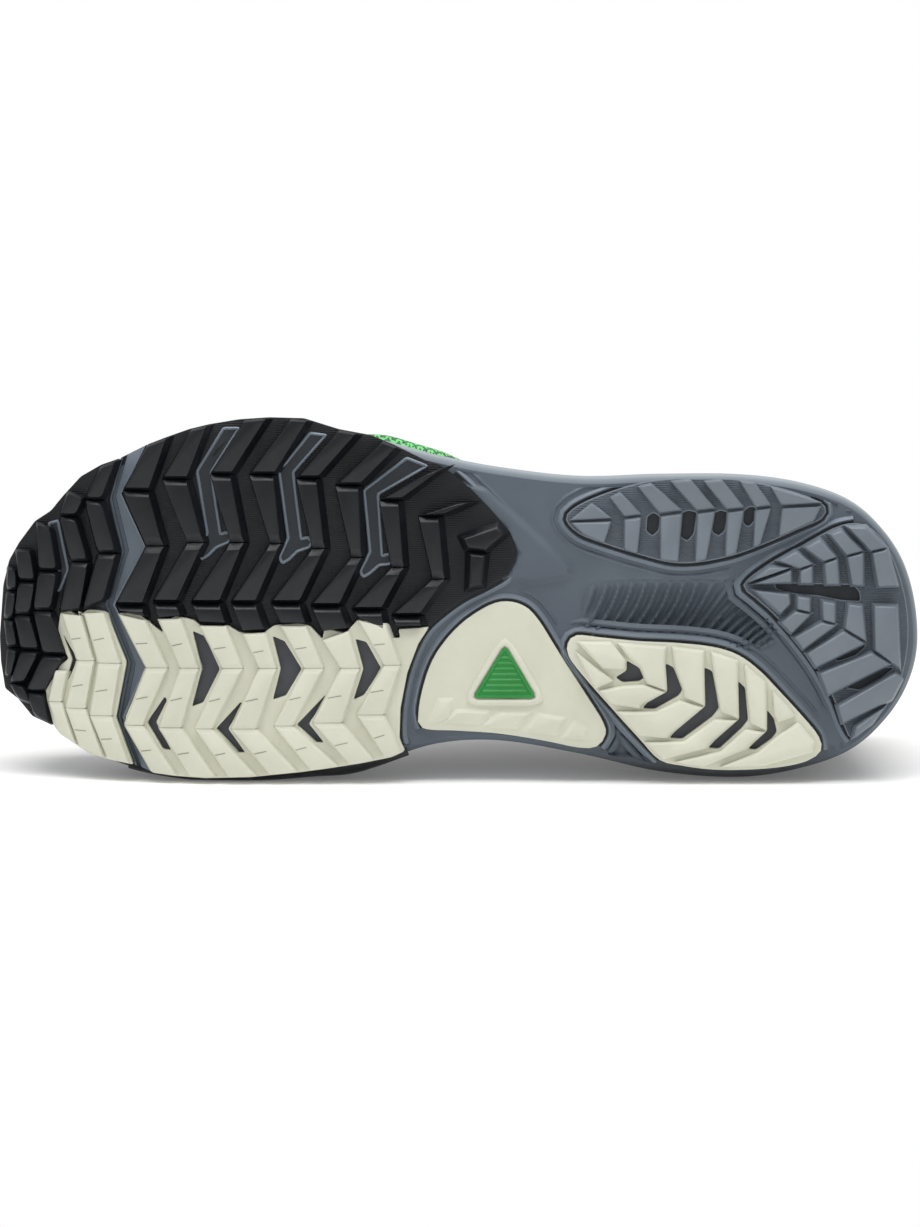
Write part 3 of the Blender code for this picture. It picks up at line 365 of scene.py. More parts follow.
def foam_material(name, dark, light, roughness, side=None):
    """Injection-moulded EVA foam: a closed matt skin with a slow drift in tone. Up the side wall its colour
    runs into a paler one, a painted highlight of the light from above, and where it nears the floor into a
    dark one, painted shade. The pores are drawn 0.7 mm apart, coarser than they are, so that they show."""
    material, add, place = new_material(name, roughness, Specular_IOR_Level=0.42)
    colour = add("Mix", 2, {"Factor": patches(add, place, 0.03), 6: linear(dark), 7: linear(light)},
                 data_type="RGBA")
    if side:
        rise = add("SeparateXYZ", "X", {"Vector": add("UVMap", "UV", {}, uv_map="side_rise")})
        height = add("SeparateXYZ", "Z", {"Vector": place})
        shares = [add("MapRange", "Result", {"Value": value, "From Min": low, "From Max": high})
                  for value, low, high in ((height, 4.0, 13.0), (rise, 0.0, 0.14), (height, 15.0, 60.0))]
        # Painted shade: darker where the foam nears the floor
        colour = add("Mix", 2, {"Factor": shares[0], 6: linear("2b3036"), 7: colour}, data_type="RGBA")
        # Painted highlight: paler up the side wall, where the light from above falls
        paler = add("Math", 0, {0: shares[1], 1: shares[2]}, operation="MULTIPLY")
        colour = add("Mix", 2, {"Factor": paler, 6: colour, 7: linear(side)}, data_type="RGBA")
    pores = add("TexVoronoi", "Distance", {"Vector": place, "Scale": 1.4}, feature="F1")
    speck = add("MapRange", "Result", {"Value": pores, "From Max": 0.35, "To Min": 0.88})
    shade = add("Mix", 2, {"Factor": 1.0, 6: colour, 7: speck}, data_type="RGBA", blend_type="MULTIPLY")
    return finish_material(material, Base_Color=shade, Normal=relief(
        add, place, ((2.4, 4.0), 0.00014, 0.3), ((0.16, 2.0), 0.0005, 0.16)))


# Carbon-filled rubber reads near-black with a satin light on its edges;
# in the grooves it's duller and ribbed
BLACK = rubber("carbon_rubber_moulded", "0d0f13", "14171c", 0.36, 0.34)
BLACK_FLOOR = rubber("carbon_rubber_ribbed_floor", "0a0c0f", "111419", 0.5, 0.3, ribs=0.4)
# The sand-coloured rubber is matt and chalky; a darker copy of it is painted shade in its thin cuts
PALE = rubber("sand_rubber_moulded", "c6c6b6", "cfcfbf", 0.6, 0.35, 0.25)
PALE_FLOOR = rubber("sand_rubber_groove_floor", "c4c4b3", "ccccbc", 0.7, 0.3, 0.4)
PALE_CUT_SHADE = rubber("sand_rubber_painted_cut_shade", "8b8b7c", "98988a", 0.7, 0.2, 0.2)
# The slate rubber of the heel stands out from the foam by its cooler, glossier grey
GREY = rubber("slate_rubber_moulded", "636b74", "6c747d", 0.46)
# Its groove floor is a darker slate than its lugs: painted shade in the grooves
GREY_FLOOR = rubber("slate_rubber_ribbed_floor_painted_shade", "424a53", "4c545d", 0.6, 0.4, ribs=0.7)
# What shows through the pods' windows and slots is darker than the foam, painted shade of the recess, and
# still
WINDOW = rubber("window_floor_painted_shade", "46484e", "4e5056", 0.6, 0.35)
SLOT = rubber("slot_floor_painted_shade", "1d2126", "252a30", 0.55, 0.4)
# The inlay is the one bright spot of the sole
GREEN = rubber("green_rubber_inlay", "187b2e", "238b3a", 0.42, 0.5, 0.2)
# The foam is a matt slate. A lighter copy of it on a rim is painted highlight, and a darker copy in a deep
# groove beside a pod is painted shade
# The foam carries a painted highlight up its side wall and painted shade near the floor
FOAM = foam_material("eva_foam_skin_painted_side_light_and_floor_shade", "4c545e", "566069", 0.55, "90999e")
PAINTED_LIGHT_FOAM = foam_material("eva_foam_painted_highlight", "6a737d", "757e88", 0.42)
SHADE = foam_material("eva_foam_painted_groove_shade", "1b2026", "242a31", 0.5)


# Mesh helpers


def finish_mesh(name, body, materials, smooth_angle=30):
    """Turns a body in the shoe's frame into a laid-down object."""
    mesh = bpy.data.meshes.new(name)
    body.to_mesh(mesh)
    body.free()
    mesh.transform(LYING)
    for vert in mesh.vertices:
        # A piece flattens where it rests on the floor
        vert.co.z = max(vert.co.z, 0.0)
    mesh.shade_smooth()
    mesh.set_sharp_from_angle(angle=math.radians(smooth_angle))
    for material in materials:
        mesh.materials.append(material)
    piece = bpy.data.objects.new(name, mesh)
    bpy.context.collection.objects.link(piece)
    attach(piece, "root")
    return piece


def under(place, depth):
    """A place on the sole at a depth over the foam's underside."""
    return Vector((place.x, place.y, ground(place.x) + TIP - depth))


def anticlockwise(points):
    area = sum(a.x * b.y - b.x * a.y for a, b in zip(points, points[1:] + points[:1]))
    return list(points) if area > 0 else list(points)[::-1]


def offset(points, distances):
    """Moves each side of an anticlockwise outline inwards by its own distance."""
    count = len(points)
    if not isinstance(distances, (list, tuple)):
        distances = [distances] * count
    moved = []
    for index, here in enumerate(points):
        before, after = points[index - 1], points[(index + 1) % count]
        first, second = (here - before).normalized(), (after - here).normalized()
        inward_a, inward_b = Vector((-first.y, first.x)), Vector((-second.y, second.x))
        reach_a, reach_b = distances[index - 1], distances[index]
        bend = first.x * second.y - first.y * second.x
        if abs(bend) < 0.15:
            shift = (inward_a + inward_b).normalized() * (reach_a + reach_b) / 2
        else:
            shift = Vector((reach_a * inward_b.y - reach_b * inward_a.y,
                            reach_b * inward_a.x - reach_a * inward_b.x)) / bend
        limit = 2.2 * max(abs(reach_a), abs(reach_b), 1e-6)
        if shift.length > limit:
            shift = shift.normalized() * limit
        moved.append(here + shift)
    return moved


def smooth_curve(points, step, closed):
    """A dense curve through the points, closed or open."""
    count = len(points)
    curve = []
    for index in range(count if closed else count - 1):
        near = [index + shift for shift in (-1, 0, 1, 2)]
        a, b, c, d = [points[at % count if closed else min(max(at, 0), count - 1)] for at in near]
        parts = max(2, int((c - b).length / step))
        for part in range(parts):
            share = part / parts
            curve.append(0.5 * (2 * b + (c - a) * share + (2 * a - 5 * b + 4 * c - d) * share ** 2
                                + (3 * b - a - 3 * c + d) * share ** 3))
    return curve if closed else curve + [points[-1]]


def cut_corners(points, reach=0.0008):
    """Replaces each corner of a straight outline by three points, which rounds it."""
    count = len(points)
    rounded = []
    for index, here in enumerate(points):
        before, after = points[index - 1], points[(index + 1) % count]
        back = min(reach, (before - here).length * 0.4)
        ahead = min(reach, (after - here).length * 0.4)
        start = here + (before - here).normalized() * back
        end = here + (after - here).normalized() * ahead
        rounded += [start, (start + end) / 4 + here / 2, end]
    return rounded


def join_rings(body, rings, material=0, closed=True, marks=None):
    """Faces between rows of vertices. Where marks are given, they are the vertices' places on the flat
    cloth."""
    layer = body.loops.layers.uv.verify() if marks else None
    for row, (lower, upper) in enumerate(zip(rings, rings[1:])):
        count = len(lower)
        for index in range(count if closed else count - 1):
            after = (index + 1) % count
            face = body.faces.new((lower[index], lower[after], upper[after], upper[index]))
            face.material_index = material
            if marks:
                for loop, (r, i) in zip(face.loops,
                                        ((row, index), (row, after), (row + 1, after), (row + 1, index))):
                    u, v = marks[r][i]
                    loop[layer].uv = (marks[r][-1][0] + 2.0 if closed and after == 0 and i == 0 else u, v)


def block(body, points, sides, facets, top=TIP, base=PLATE - 0.0002, drop=0.0003, tilt=None,
          rounding=0.0005):
    """A moulded lug. Its outline is that of its shoulder: from there each side slopes outwards down to the
    base and leans inwards up to the top, by its own reach."""
    points = [Vector(point) for point in points]
    order = anticlockwise(points)
    turned = order[0] != points[0] or order[1] != points[1]
    reaches = []
    for given in (sides, facets):
        values = list(given) if isinstance(given, (list, tuple)) else [given] * len(points)
        if turned:
            values = values[::-1]
            values = values[1:] + values[:1]
        reaches.append(values)
    outward, inward = reaches
    steps = ((base, [-side for side in outward]), (top - drop, [0.0] * len(order)),
             (top - 0.00014, [0.92 * facet for facet in inward]),
             (top, [facet + 0.0002 for facet in inward]))
    rings = []
    for number, (depth, distances) in enumerate(steps):
        ring = cut_corners(offset(order, distances), rounding)
        lean = tilt if tilt and number else (lambda point: 0.0)
        rings.append([body.verts.new(under(point, depth + lean(point))) for point in ring])
    join_rings(body, rings)
    body.faces.new(rings[-1])


# Where two arms of a lug row meet, in metres: the notch, and the facets
# of the arm above and of the arm below
Joint = namedtuple("Joint", "gap above below")


def arms(body, pairs, joints, toe_slope=0.0005, heel_slope=0.0020, drop=0.0018, rounding=0.0005):
    """A zigzag lug row: one block between each two pairs of a toe-side and a heel-side point."""
    for index, (first, second) in enumerate(zip(pairs, pairs[1:])):
        upper, lower = joints[index], joints[index + 1]
        quad = [first[0], first[1], second[1], second[0]]
        shoulder = offset(quad, [upper.gap / 2, 0.0, lower.gap / 2, 0.0])
        block(body, shoulder, [upper.gap / 2, heel_slope, lower.gap / 2, toe_slope],
              [upper.below, 0.0003, lower.above, 0.0003], drop=drop, rounding=rounding)


def row_pairs(row, loop):
    """The points of a lug row, its two ends cut along the outline of the pod that it stands on."""
    pairs = [[spot(toe, level), spot(heel, level)] for toe, heel, level in row]
    for pair, way in ((pairs[0], 1), (pairs[-1], -1)):
        for point in pair:
            heights = [first.y + (second.y - first.y) * (point.x - first.x) / (second.x - first.x)
                       for first, second in zip(loop, loop[1:] + loop[:1])
                       if (first.x > point.x) != (second.x > point.x)]
            near = [height for height in heights if abs(height - point.y) < 0.0034]
            if near:
                point.y = (max(near) if way > 0 else min(near)) - way * 0.0003
    return pairs


def cut_shade_lines(body, pairs):
    """Short thin cuts across the long arms of a lug row, each a dark strip on the lug's top: painted shade
    of the cut.
    """
    for (toe, heel), (next_toe, next_heel) in zip(pairs, pairs[1:]):
        if toe.y - next_toe.y > 0.0113:
            front, back = toe.lerp(next_toe, 0.55), heel.lerp(next_heel, 0.47)
            line = [front.lerp(back, 0.08), front.lerp(back, 0.62)]
            # A dark strip on the lug's top: painted shade where the rubber is cut
            ribbon(body, [(beside(line, reach), TIP + 0.00004) for reach in (-0.00016, 0.00016)], 5)


def on_the_foam(place):
    """Keeps a place on the flat of the foam's underside, inside its rounded edge."""
    percent = min(max(percent_at(place.x), 0.8), 99.2)
    lateral, medial = across(EDGES[1](percent)), -across(EDGES[-1](percent))
    return Vector((along(percent), min(max(place.y, medial + 0.0034), lateral - 0.0034)))


def beside(points, distance):
    """Moves an open line sideways, to its left for positive distances."""
    moved = []
    last = len(points) - 1
    for index, here in enumerate(points):
        arriving = (here - points[index - 1]).normalized() if index else None
        leaving = (points[index + 1] - here).normalized() if index < last else arriving
        arriving = arriving or leaving
        aside = Vector((-(arriving + leaving).y, (arriving + leaving).x)).normalized()
        stretch = 1 / max(aside.dot(Vector((-arriving.y, arriving.x))), 0.5)
        moved.append(here + aside * distance * stretch)
    return moved


def ribbon(body, lines, material=0):
    """A strip through lines side by side: each is its points and its depth, or a depth for each point."""
    rows = []
    for points, depth in lines:
        depths = depth if isinstance(depth, list) else [depth] * len(points)
        rows.append([body.verts.new(under(*pair)) for pair in zip(points, depths)])
    join_rings(body, rows, material, False)


def reach_inside(place, loop):
    """How far a place lies inside a loop; less than nothing outside it."""
    nearest = 1.0
    for first, second in zip(loop, loop[1:] + loop[:1]):
        side = second - first
        share = min(max((place - first).dot(side) / side.length_squared, 0.0), 1.0)
        nearest = min(nearest, (place - first - side * share).length)
    return nearest if inside(place, loop) else -nearest


def inside(place, loop):
    found = False
    for first, second in zip(loop, loop[1:] + loop[:1]):
        if (first.y > place.y) != (second.y > place.y):
            if place.x < (second.x - first.x) * (place.y - first.y) / (second.y - first.y) + first.x:
                found = not found
    return found


PLATE_EDGE = 0.0004
PLATE_PITCH = 0.0035


def plate(body, loop, holes, face):
    """A moulded plate with rounded edges, with windows right through it."""
    loop = anticlockwise(loop)
    holes = [anticlockwise(hole) for hole in holes]
    borders = [(loop, 1)] + [(hole, -1) for hole in holes]
    flat, sides = [], []
    for border, way in borders:
        start = len(flat)
        flat += offset(border, way * PLATE_EDGE)
        sides += [(start + index, start + (index + 1) % len(border)) for index in range(len(border))]
        rings = []
        edge = ((-0.0004, 0.0), (face - PLATE_EDGE, 0.0), (face - 0.3 * PLATE_EDGE, 0.3), (face, 1.0))
        for depth, share in edge:
            ring = offset(border, way * PLATE_EDGE * share)
            rings.append([body.verts.new(under(point, depth)) for point in ring])
        join_rings(body, rings)
    low = Vector((min(point.x for point in loop), min(point.y for point in loop)))
    high = Vector((max(point.x for point in loop), max(point.y for point in loop)))
    inner = flat[:len(loop)]
    tight = [offset(hole, -2 * PLATE_EDGE) for hole in holes]
    for across_step in range(1, int((high.x - low.x) / PLATE_PITCH) + 1):
        for up_step in range(1, int((high.y - low.y) / PLATE_PITCH) + 1):
            point = low + Vector((across_step, up_step)) * PLATE_PITCH
            near = any((point - border).length < PLATE_PITCH * 0.35 for border in flat)
            if not near and inside(point, inner) and not any(inside(point, hole) for hole in tight):
                flat.append(point)
    points, _, faces, *_ = delaunay_2d_cdt(flat, sides, [], 0, 1e-7)
    verts = [body.verts.new(under(point, face)) for point in points]
    wide = [offset(hole, -PLATE_EDGE) for hole in holes]
    for corners in faces:
        middle = sum((points[index] for index in corners), Vector((0, 0))) / len(corners)
        if inside(middle, inner) and not any(inside(middle, hole) for hole in wide):
            body.faces.new([verts[index] for index in corners]).material_index = 1


def ledge(body, loop, profile, material=0):
    """Rings round a loop: each step of the profile is (how far inside the loop, depth)."""
    rings = [[body.verts.new(under(point, depth)) for point in offset(anticlockwise(loop), inset)]
             for inset, depth in profile]
    join_rings(body, rings, material)
    return rings


def tidy_body(body, weld=2e-6):
    """Joins the vertices that meet, where a weld is given, and turns the faces outwards."""
    if weld:
        bmesh.ops.remove_doubles(body, verts=body.verts[:], dist=weld)
    bmesh.ops.recalc_face_normals(body, faces=body.faces[:])


# Outsole: the pods' outlines and their lugs, as read from the photograph

TOE_POD = spots(
    (121, 458), (109, 500), (121, 552), (106, 602), (96, 608), (84, 612), (76, 612), (62, 608), (56, 630),
    (69, 658), (56, 668), (47, 680), (45, 700), (52, 728), (46, 725), (32, 719), (18, 702), (5, 692),
    (1, 665), (0, 640), (4, 588), (10, 563), (20, 545), (36, 523), (52, 512), (64, 497), (82, 477),
    (102, 465),
)
MEDIAL_FRONT_POD = spots(
    (107, 612), (127, 662), (116, 718), (133, 765), (112, 761), (90, 755), (60, 736), (54, 728), (47, 702),
    (46, 690), (50, 677), (58, 668), (69, 660), (58, 636), (61, 614), (70, 611), (80, 617), (88, 610),
    (97, 610),
)
LATERAL_POD = spots(
    (148, 444), (123, 493), (147, 546), (116, 605), (120, 612), (138, 611), (150, 620), (162, 630),
    (163, 620), (176, 614), (196, 618), (204, 625), (220, 627), (226, 622), (240, 630), (262, 632),
    (274, 623), (302, 621), (312, 624), (322, 636), (324, 626), (346, 631), (358, 617), (374, 620),
    (392, 636), (400, 636), (398, 627), (416, 626), (432, 625), (446, 612), (466, 598), (492, 585),
    (508, 575), (516, 562), (518, 550), (511, 531), (488, 505), (462, 479), (440, 463), (428, 460),
    (396, 444), (372, 434), (340, 428), (305, 417), (270, 416), (240, 418), (210, 423), (190, 428),
    (168, 436),
)
MEDIAL_REAR_POD = spots(
    (119, 613), (138, 612), (149, 621), (163, 632), (164, 621), (176, 615), (195, 619), (203, 626),
    (220, 628), (226, 623), (240, 631), (262, 633), (275, 624), (301, 622), (311, 625), (323, 638),
    (325, 627), (346, 632), (359, 618), (373, 621), (391, 637), (401, 637), (399, 628), (416, 627),
    (430, 626), (419, 643), (408, 672), (401, 708), (400, 738), (405, 751), (392, 757), (362, 763),
    (330, 768), (300, 772), (250, 777), (205, 778), (175, 776), (152, 773), (125, 718), (147, 667),
)
WAIST_POD = (
    (508, 601), (490, 605), (466, 620), (447, 639), (433, 660), (424, 685), (419, 712), (423, 728),
    (460, 731), (500, 734), (545, 741), (580, 748), (598, 747), (607, 735), (604, 721), (582, 686),
    (560, 652), (540, 620), (526, 606),
)
HEEL_MEDIAL_POD = (
    (578, 635), (569, 643), (570, 656), (584, 675), (612, 707), (640, 738), (661, 760), (684, 766),
    (715, 770), (752, 770), (786, 767), (810, 761), (823, 751), (821, 737), (806, 718), (785, 695),
    (762, 671), (740, 655), (715, 647), (680, 643), (640, 641), (600, 637),
)
HEEL_LATERAL_POD = (
    (567, 519), (574, 508), (595, 497), (630, 485), (662, 479), (700, 478), (740, 479), (780, 487),
    (812, 497), (827, 506), (824, 518), (800, 529), (768, 543), (735, 555), (700, 562), (672, 562),
    (640, 554), (605, 543), (580, 533),
)
HEEL_REAR_POD = (
    (745, 585), (768, 565), (800, 547), (835, 528), (856, 523), (874, 529), (890, 548), (903, 580),
    (910, 615), (910, 650), (903, 682), (890, 706), (872, 727), (855, 740), (847, 728), (836, 700),
    (820, 670), (798, 640), (775, 614), (757, 598),
)
WINDOWS = (
    ((193, 630), (205, 635), (220, 668), (203, 702), (192, 706), (202, 668)),
    ((273, 635), (285, 640), (302, 668), (286, 695), (273, 699), (281, 668)),
    ((356, 638), (367, 641), (382, 668), (364, 695), (354, 699), (364, 668)),
    ((165, 696), (147, 722), (163, 749), (171, 750), (156, 722), (167, 700)),
    ((241, 701), (216, 728), (236, 752), (245, 752), (228, 728), (243, 704)),
    ((326, 694), (297, 724), (316, 742), (324, 742), (309, 723), (327, 697)),
)
FRONT_WINDOWS = (
    ((64, 636), (78, 660), (69, 681), (67, 680), (73, 660)), ((80, 613), (84, 616), (94, 638), (91, 639)),
)
HEEL_SLOTS = (
    ((628, 660), (640, 667), (646, 677), (641, 681), (624, 682), (617, 677), (628, 670)),
    ((667, 663), (675, 667), (684, 690), (680, 696), (656, 709), (644, 708), (648, 703), (669, 691)),
    ((706, 667), (714, 671), (721, 708), (714, 717), (684, 739), (671, 738), (676, 732), (707, 706)),
    ((740, 681), (747, 688), (750, 720), (745, 727), (721, 749), (710, 748), (716, 741), (741, 719)),
    ((769, 710), (776, 719), (779, 732), (774, 739), (758, 750), (750, 749), (757, 742), (769, 731)),
)

# A lug row's corners: where its toe side and its heel side stand, and at which height in the photograph
BLACK_ROWS = (
    ((149, 169, 443), (124, 150, 490), (147, 165, 545), (116, 143, 604), (120, 146, 612)),
    ((193, 209, 432), (163, 188, 478), (188, 205, 541), (153, 177, 601), (159, 182, 617)),
    ((246, 268, 424), (211, 232, 473), (231, 245, 541), (191, 220, 601), (200, 227, 622)),
    ((292, 309, 427), (250, 275, 473), (271, 282, 542), (231, 256, 601), (243, 266, 629)),
    ((340, 358, 436), (297, 318, 477), (313, 326, 547), (271, 300, 601), (281, 307, 622)),
    ((384, 398, 448), (336, 360, 484), (352, 363, 556), (311, 340, 604), (323, 349, 628)),
    ((430, 444, 471), (380, 400, 499), (392, 405, 566), (352, 382, 608), (359, 386, 621)),
    ((462, 471, 501), (419, 440, 515), (433, 446, 578), (392, 420, 614), (397, 423, 625)),
)
PALE_ROWS = (
    ((120, 146, 613), (147, 168, 667), (125, 143, 725), (152, 176, 773)),
    ((159, 182, 618), (181, 199, 667), (159, 181, 727), (190, 215, 776)),
    ((200, 227, 623), (223, 243, 667), (195, 212, 728), (229, 256, 777)),
    ((243, 266, 630), (260, 277, 667), (231, 256, 728), (270, 297, 775)),
    ((281, 307, 623), (305, 324, 667), (274, 293, 725), (311, 338, 770)),
    ((323, 349, 629), (342, 360, 667), (313, 342, 722), (350, 374, 764)),
    ((359, 386, 622), (385, 401, 664), (357, 384, 714), (386, 402, 754)),
)
TOE_ROWS = (
    ((103, 118, 468), (86, 103, 500), (99, 118, 553), (83, 104, 602)),
    ((70, 86, 497), (61, 77, 517), (72, 90, 562), (60, 81, 606)),
    ((38, 52, 528), (40, 59, 572), (34, 52, 612), (44, 66, 656), (26, 44, 694), (36, 50, 722)),
    ((17, 32, 551), (20, 37, 583), (15, 31, 617), (22, 41, 652), (10, 24, 686), (20, 33, 708)),
    ((9, 18, 572), (8, 18, 593), (5, 14, 622), (8, 19, 650), (6, 12, 680)),
)
MEDIAL_FRONT_ROWS = (
    ((85, 105, 613), (99, 121, 663), (90, 112, 716), (108, 129, 760)),
    ((63, 82, 613), (78, 95, 661), (66, 86, 709), (80, 104, 752)),
    ((56, 68, 672), (49, 62, 703), (60, 76, 740)),
)
HEEL_LATERAL_LUGS = (
    ((572, 519), (593, 503), (612, 517)), ((573, 522), (612, 521), (605, 541), (585, 533)),
    ((612, 497), (621, 492), (642, 513), (626, 515)), ((626, 519), (642, 517), (638, 552), (626, 548)),
    ((640, 486), (652, 483), (683, 509), (661, 512)), ((662, 516), (683, 513), (679, 560), (662, 558)),
    ((673, 481), (691, 479), (716, 507), (698, 509)), ((699, 513), (716, 511), (707, 558), (697, 560)),
    ((706, 481), (722, 479), (745, 506), (728, 508)), ((729, 512), (745, 510), (737, 552), (727, 555)),
    ((742, 481), (755, 482), (772, 504), (757, 506)), ((757, 510), (772, 508), (761, 543), (755, 546)),
    ((773, 487), (800, 494), (822, 502), (783, 504)), ((784, 508), (822, 506), (815, 520), (781, 535)),
)
HEEL_REAR_LUGS = (
    ((753, 580), (770, 567), (791, 567)), ((756, 583), (792, 570), (792, 581)),
    ((781, 560), (797, 551), (813, 563), (801, 567)), ((802, 570), (813, 566), (813, 582), (802, 582)),
    ((807, 547), (821, 539), (837, 556), (825, 560)), ((826, 563), (838, 559), (840, 583), (828, 583)),
    ((832, 534), (842, 530), (863, 550), (848, 554)), ((849, 557), (864, 553), (864, 584), (854, 584)),
    ((850, 527), (867, 527), (886, 547), (872, 550)), ((874, 553), (888, 550), (898, 585), (880, 586)),
    ((757, 590), (790, 594), (791, 603), (782, 612)), ((799, 596), (811, 598), (811, 611), (799, 608)),
    ((797, 611), (811, 614), (793, 632), (783, 622)), ((824, 601), (836, 603), (836, 622), (825, 619)),
    ((823, 622), (836, 625), (805, 648), (796, 637)), ((850, 604), (863, 606), (867, 640), (847, 628)),
    ((845, 631), (865, 643), (818, 666), (809, 653)), ((876, 606), (898, 607), (901, 668), (877, 650)),
    ((873, 653), (891, 664), (830, 694), (822, 673)),
    ((897, 674), (903, 681), (893, 700), (845, 722), (840, 706)),
    ((858, 727), (886, 708), (873, 724), (856, 736)),
)
HEEL_MEDIAL_LUGS = (
    ((578, 641), (612, 641), (627, 659), (626, 668), (604, 668)),
    ((576, 650), (603, 671), (615, 680), (596, 688)),
    ((618, 642), (668, 646), (666, 662), (668, 690), (648, 683), (641, 666), (630, 657)),
    ((645, 684), (667, 692), (643, 703), (641, 708), (612, 703), (600, 690), (625, 685)),
    ((673, 646), (706, 650), (705, 666), (706, 705), (686, 697), (685, 690), (676, 666)),
    ((681, 700), (705, 707), (674, 731), (668, 738), (640, 735), (618, 711), (657, 711)),
    ((712, 651), (740, 660), (739, 681), (740, 718), (722, 711), (715, 671)),
    ((716, 719), (739, 720), (714, 740), (708, 748), (665, 759), (646, 742), (685, 741)),
    ((746, 664), (768, 682), (768, 709), (768, 730), (752, 723), (748, 688)),
    ((747, 729), (767, 732), (755, 741), (748, 749), (704, 767), (676, 762), (722, 751)),
    ((774, 690), (790, 706), (797, 716), (780, 722), (776, 716)),
    ((780, 735), (800, 722), (817, 742), (815, 752), (765, 766), (722, 767), (760, 752)),
)
HEEL_LATERAL_HOLES = (
    ((649, 516), (655, 512), (661, 516), (660, 529), (654, 535), (648, 530)),
    ((682, 513), (690, 510), (698, 512), (695, 533), (689, 540), (682, 536)),
    ((715, 513), (722, 510), (729, 512), (726, 530), (720, 535), (714, 531)),
    ((746, 510), (752, 506), (758, 508), (755, 521), (750, 526), (745, 522)),
)
HEEL_REAR_HOLES = (
    ((777, 583), (855, 585), (861, 592), (862, 601), (845, 600), (820, 595), (790, 592), (778, 588)),
    ((832, 655), (846, 645), (868, 646), (858, 655), (840, 661)),
    ((846, 681), (862, 669), (896, 669), (880, 681), (862, 690), (850, 688)),
)
CHANNELS = (
    ((225, 427), (198, 470), (208, 532), (199, 552), (202, 558), (209, 554), (217, 546), (229, 541),
     (232, 536), (228, 531), (221, 533), (212, 471), (240, 427)),
    ((311, 432), (280, 470), (289, 537), (280, 556), (283, 562), (290, 558), (298, 550), (310, 546),
     (313, 541), (309, 536), (302, 538), (294, 471), (327, 434)),
    ((408, 457), (365, 489), (371, 551), (361, 570), (364, 576), (371, 572), (380, 564), (391, 563),
     (394, 558), (390, 553), (383, 555), (379, 493), (428, 465)),
)
TOE_CHANNEL = ((50, 525), (60, 571), (55, 591), (60, 592), (69, 571), (59, 522))
LAST_BLOCK = (
    ((463, 537), (498, 525), (506, 533), (487, 550), (468, 548)),
    ((470, 552), (487, 554), (484, 584), (469, 587)),
)
ZIGZAG_TOE = ((121, 458), (109, 500), (121, 552), (104, 605), (127, 662), (116, 718), (133, 765))
ZIGZAG_HEEL = ((148, 444), (123, 493), (147, 546), (116, 605), (147, 667), (125, 718), (152, 773))
# Lines that the foam's rims follow, each with the side of it that they lie on
RIM_LINES = (
    (-1, WAIST_POD[7::-1] + WAIST_POD[:12:-1] + ((600, 746),)),
    (-1, HEEL_MEDIAL_POD[6::-1] + HEEL_MEDIAL_POD[:11:-1]),
    (1, ((650, 480),) + HEEL_LATERAL_POD[3::-1] + HEEL_LATERAL_POD[:7:-1]),
    (-1, HEEL_REAR_POD[13:] + HEEL_REAR_POD[:5]),
    (-1, ((455, 473), (462, 479), (488, 505), (511, 531), (518, 550), (516, 562), (508, 575), (492, 585),
          (466, 598), (446, 612), (430, 626), (419, 643), (408, 672), (401, 708), (400, 738), (405, 751))),
)
# A rim's crest is drawn in the lighter foam, painted highlight; the strip by the pod in the darker foam,
# painted shade
RIM_PROFILE = (
    (0.0007, -0.0003), (0.0009, 0.0007), (0.0012, 0.0013), (0.0015, 0.0014), (0.0019, 0.0009),
    (0.0024, 0.0001), (0.003, -0.0005),
)
SHADE_STRIP = ((-0.0004, 0.0002), (0.0008, 0.0002))
OUTER_RIM_PROFILE = (
    (0.0034, -0.0004), (0.0038, 0.0003), (0.0043, 0.0005), (0.0048, 0.0002), (0.0056, -0.0004),
)
RAISED_FACET = spots(
    (487, 487), (573, 566), (574, 576), (530, 583), (505, 579), (518, 553), (503, 527), (460, 480),
)
SPUR = spots((583, 680), (650, 757), (612, 757), (604, 725))
BADGE = spots((506, 643), (472, 699), (539, 699))
WAIST_LUGS = (
    ((440, 700), (452, 700), (450, 718), (432, 721)), ((458, 711), (490, 712), (480, 723), (446, 721)),
    ((500, 713), (530, 714), (518, 727), (488, 725)), ((540, 715), (566, 719), (558, 734), (528, 730)),
    ((576, 723), (587, 731), (588, 738), (566, 737)),
)


WINDOW_DEPTH = 0.0009


def pod_plate(loop, holes, rounding, face):
    """A pod's plate, with a floor deep in each of its windows."""
    body = bmesh.new()
    openings = [cut_corners(spots(*hole), rounding) for hole in holes]
    plate(body, loop, openings, face)
    for opening in openings:
        wide = offset(anticlockwise(opening), -0.0006)
        # The window's floor is dark: painted shade of the recess
        body.faces.new([body.verts.new(under(point, WINDOW_DEPTH)) for point in wide]).material_index = 2
    return body


def shown_for(piece, node):
    """A piece that stands for a node of the frame: the node is hidden."""
    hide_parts(node)


def channel(body, outline_points):
    """A grey channel with a raised rim, laid along a groove of the black pod."""
    loop = cut_corners(outline_points, 0.0006)
    steps = ((-0.0006, PLATE - 0.0003), (-0.0004, PLATE + 0.0005), (-0.0001, PLATE + 0.0008),
             (0.0002, PLATE + 0.0006), (0.0005, PLATE + 0.0001))
    # The rim is drawn in the lighter foam, painted highlight, and the channel's floor in the darker foam,
    # painted shade
    rings = ledge(body, loop, steps, 3)
    body.faces.new(rings[-1]).material_index = 4


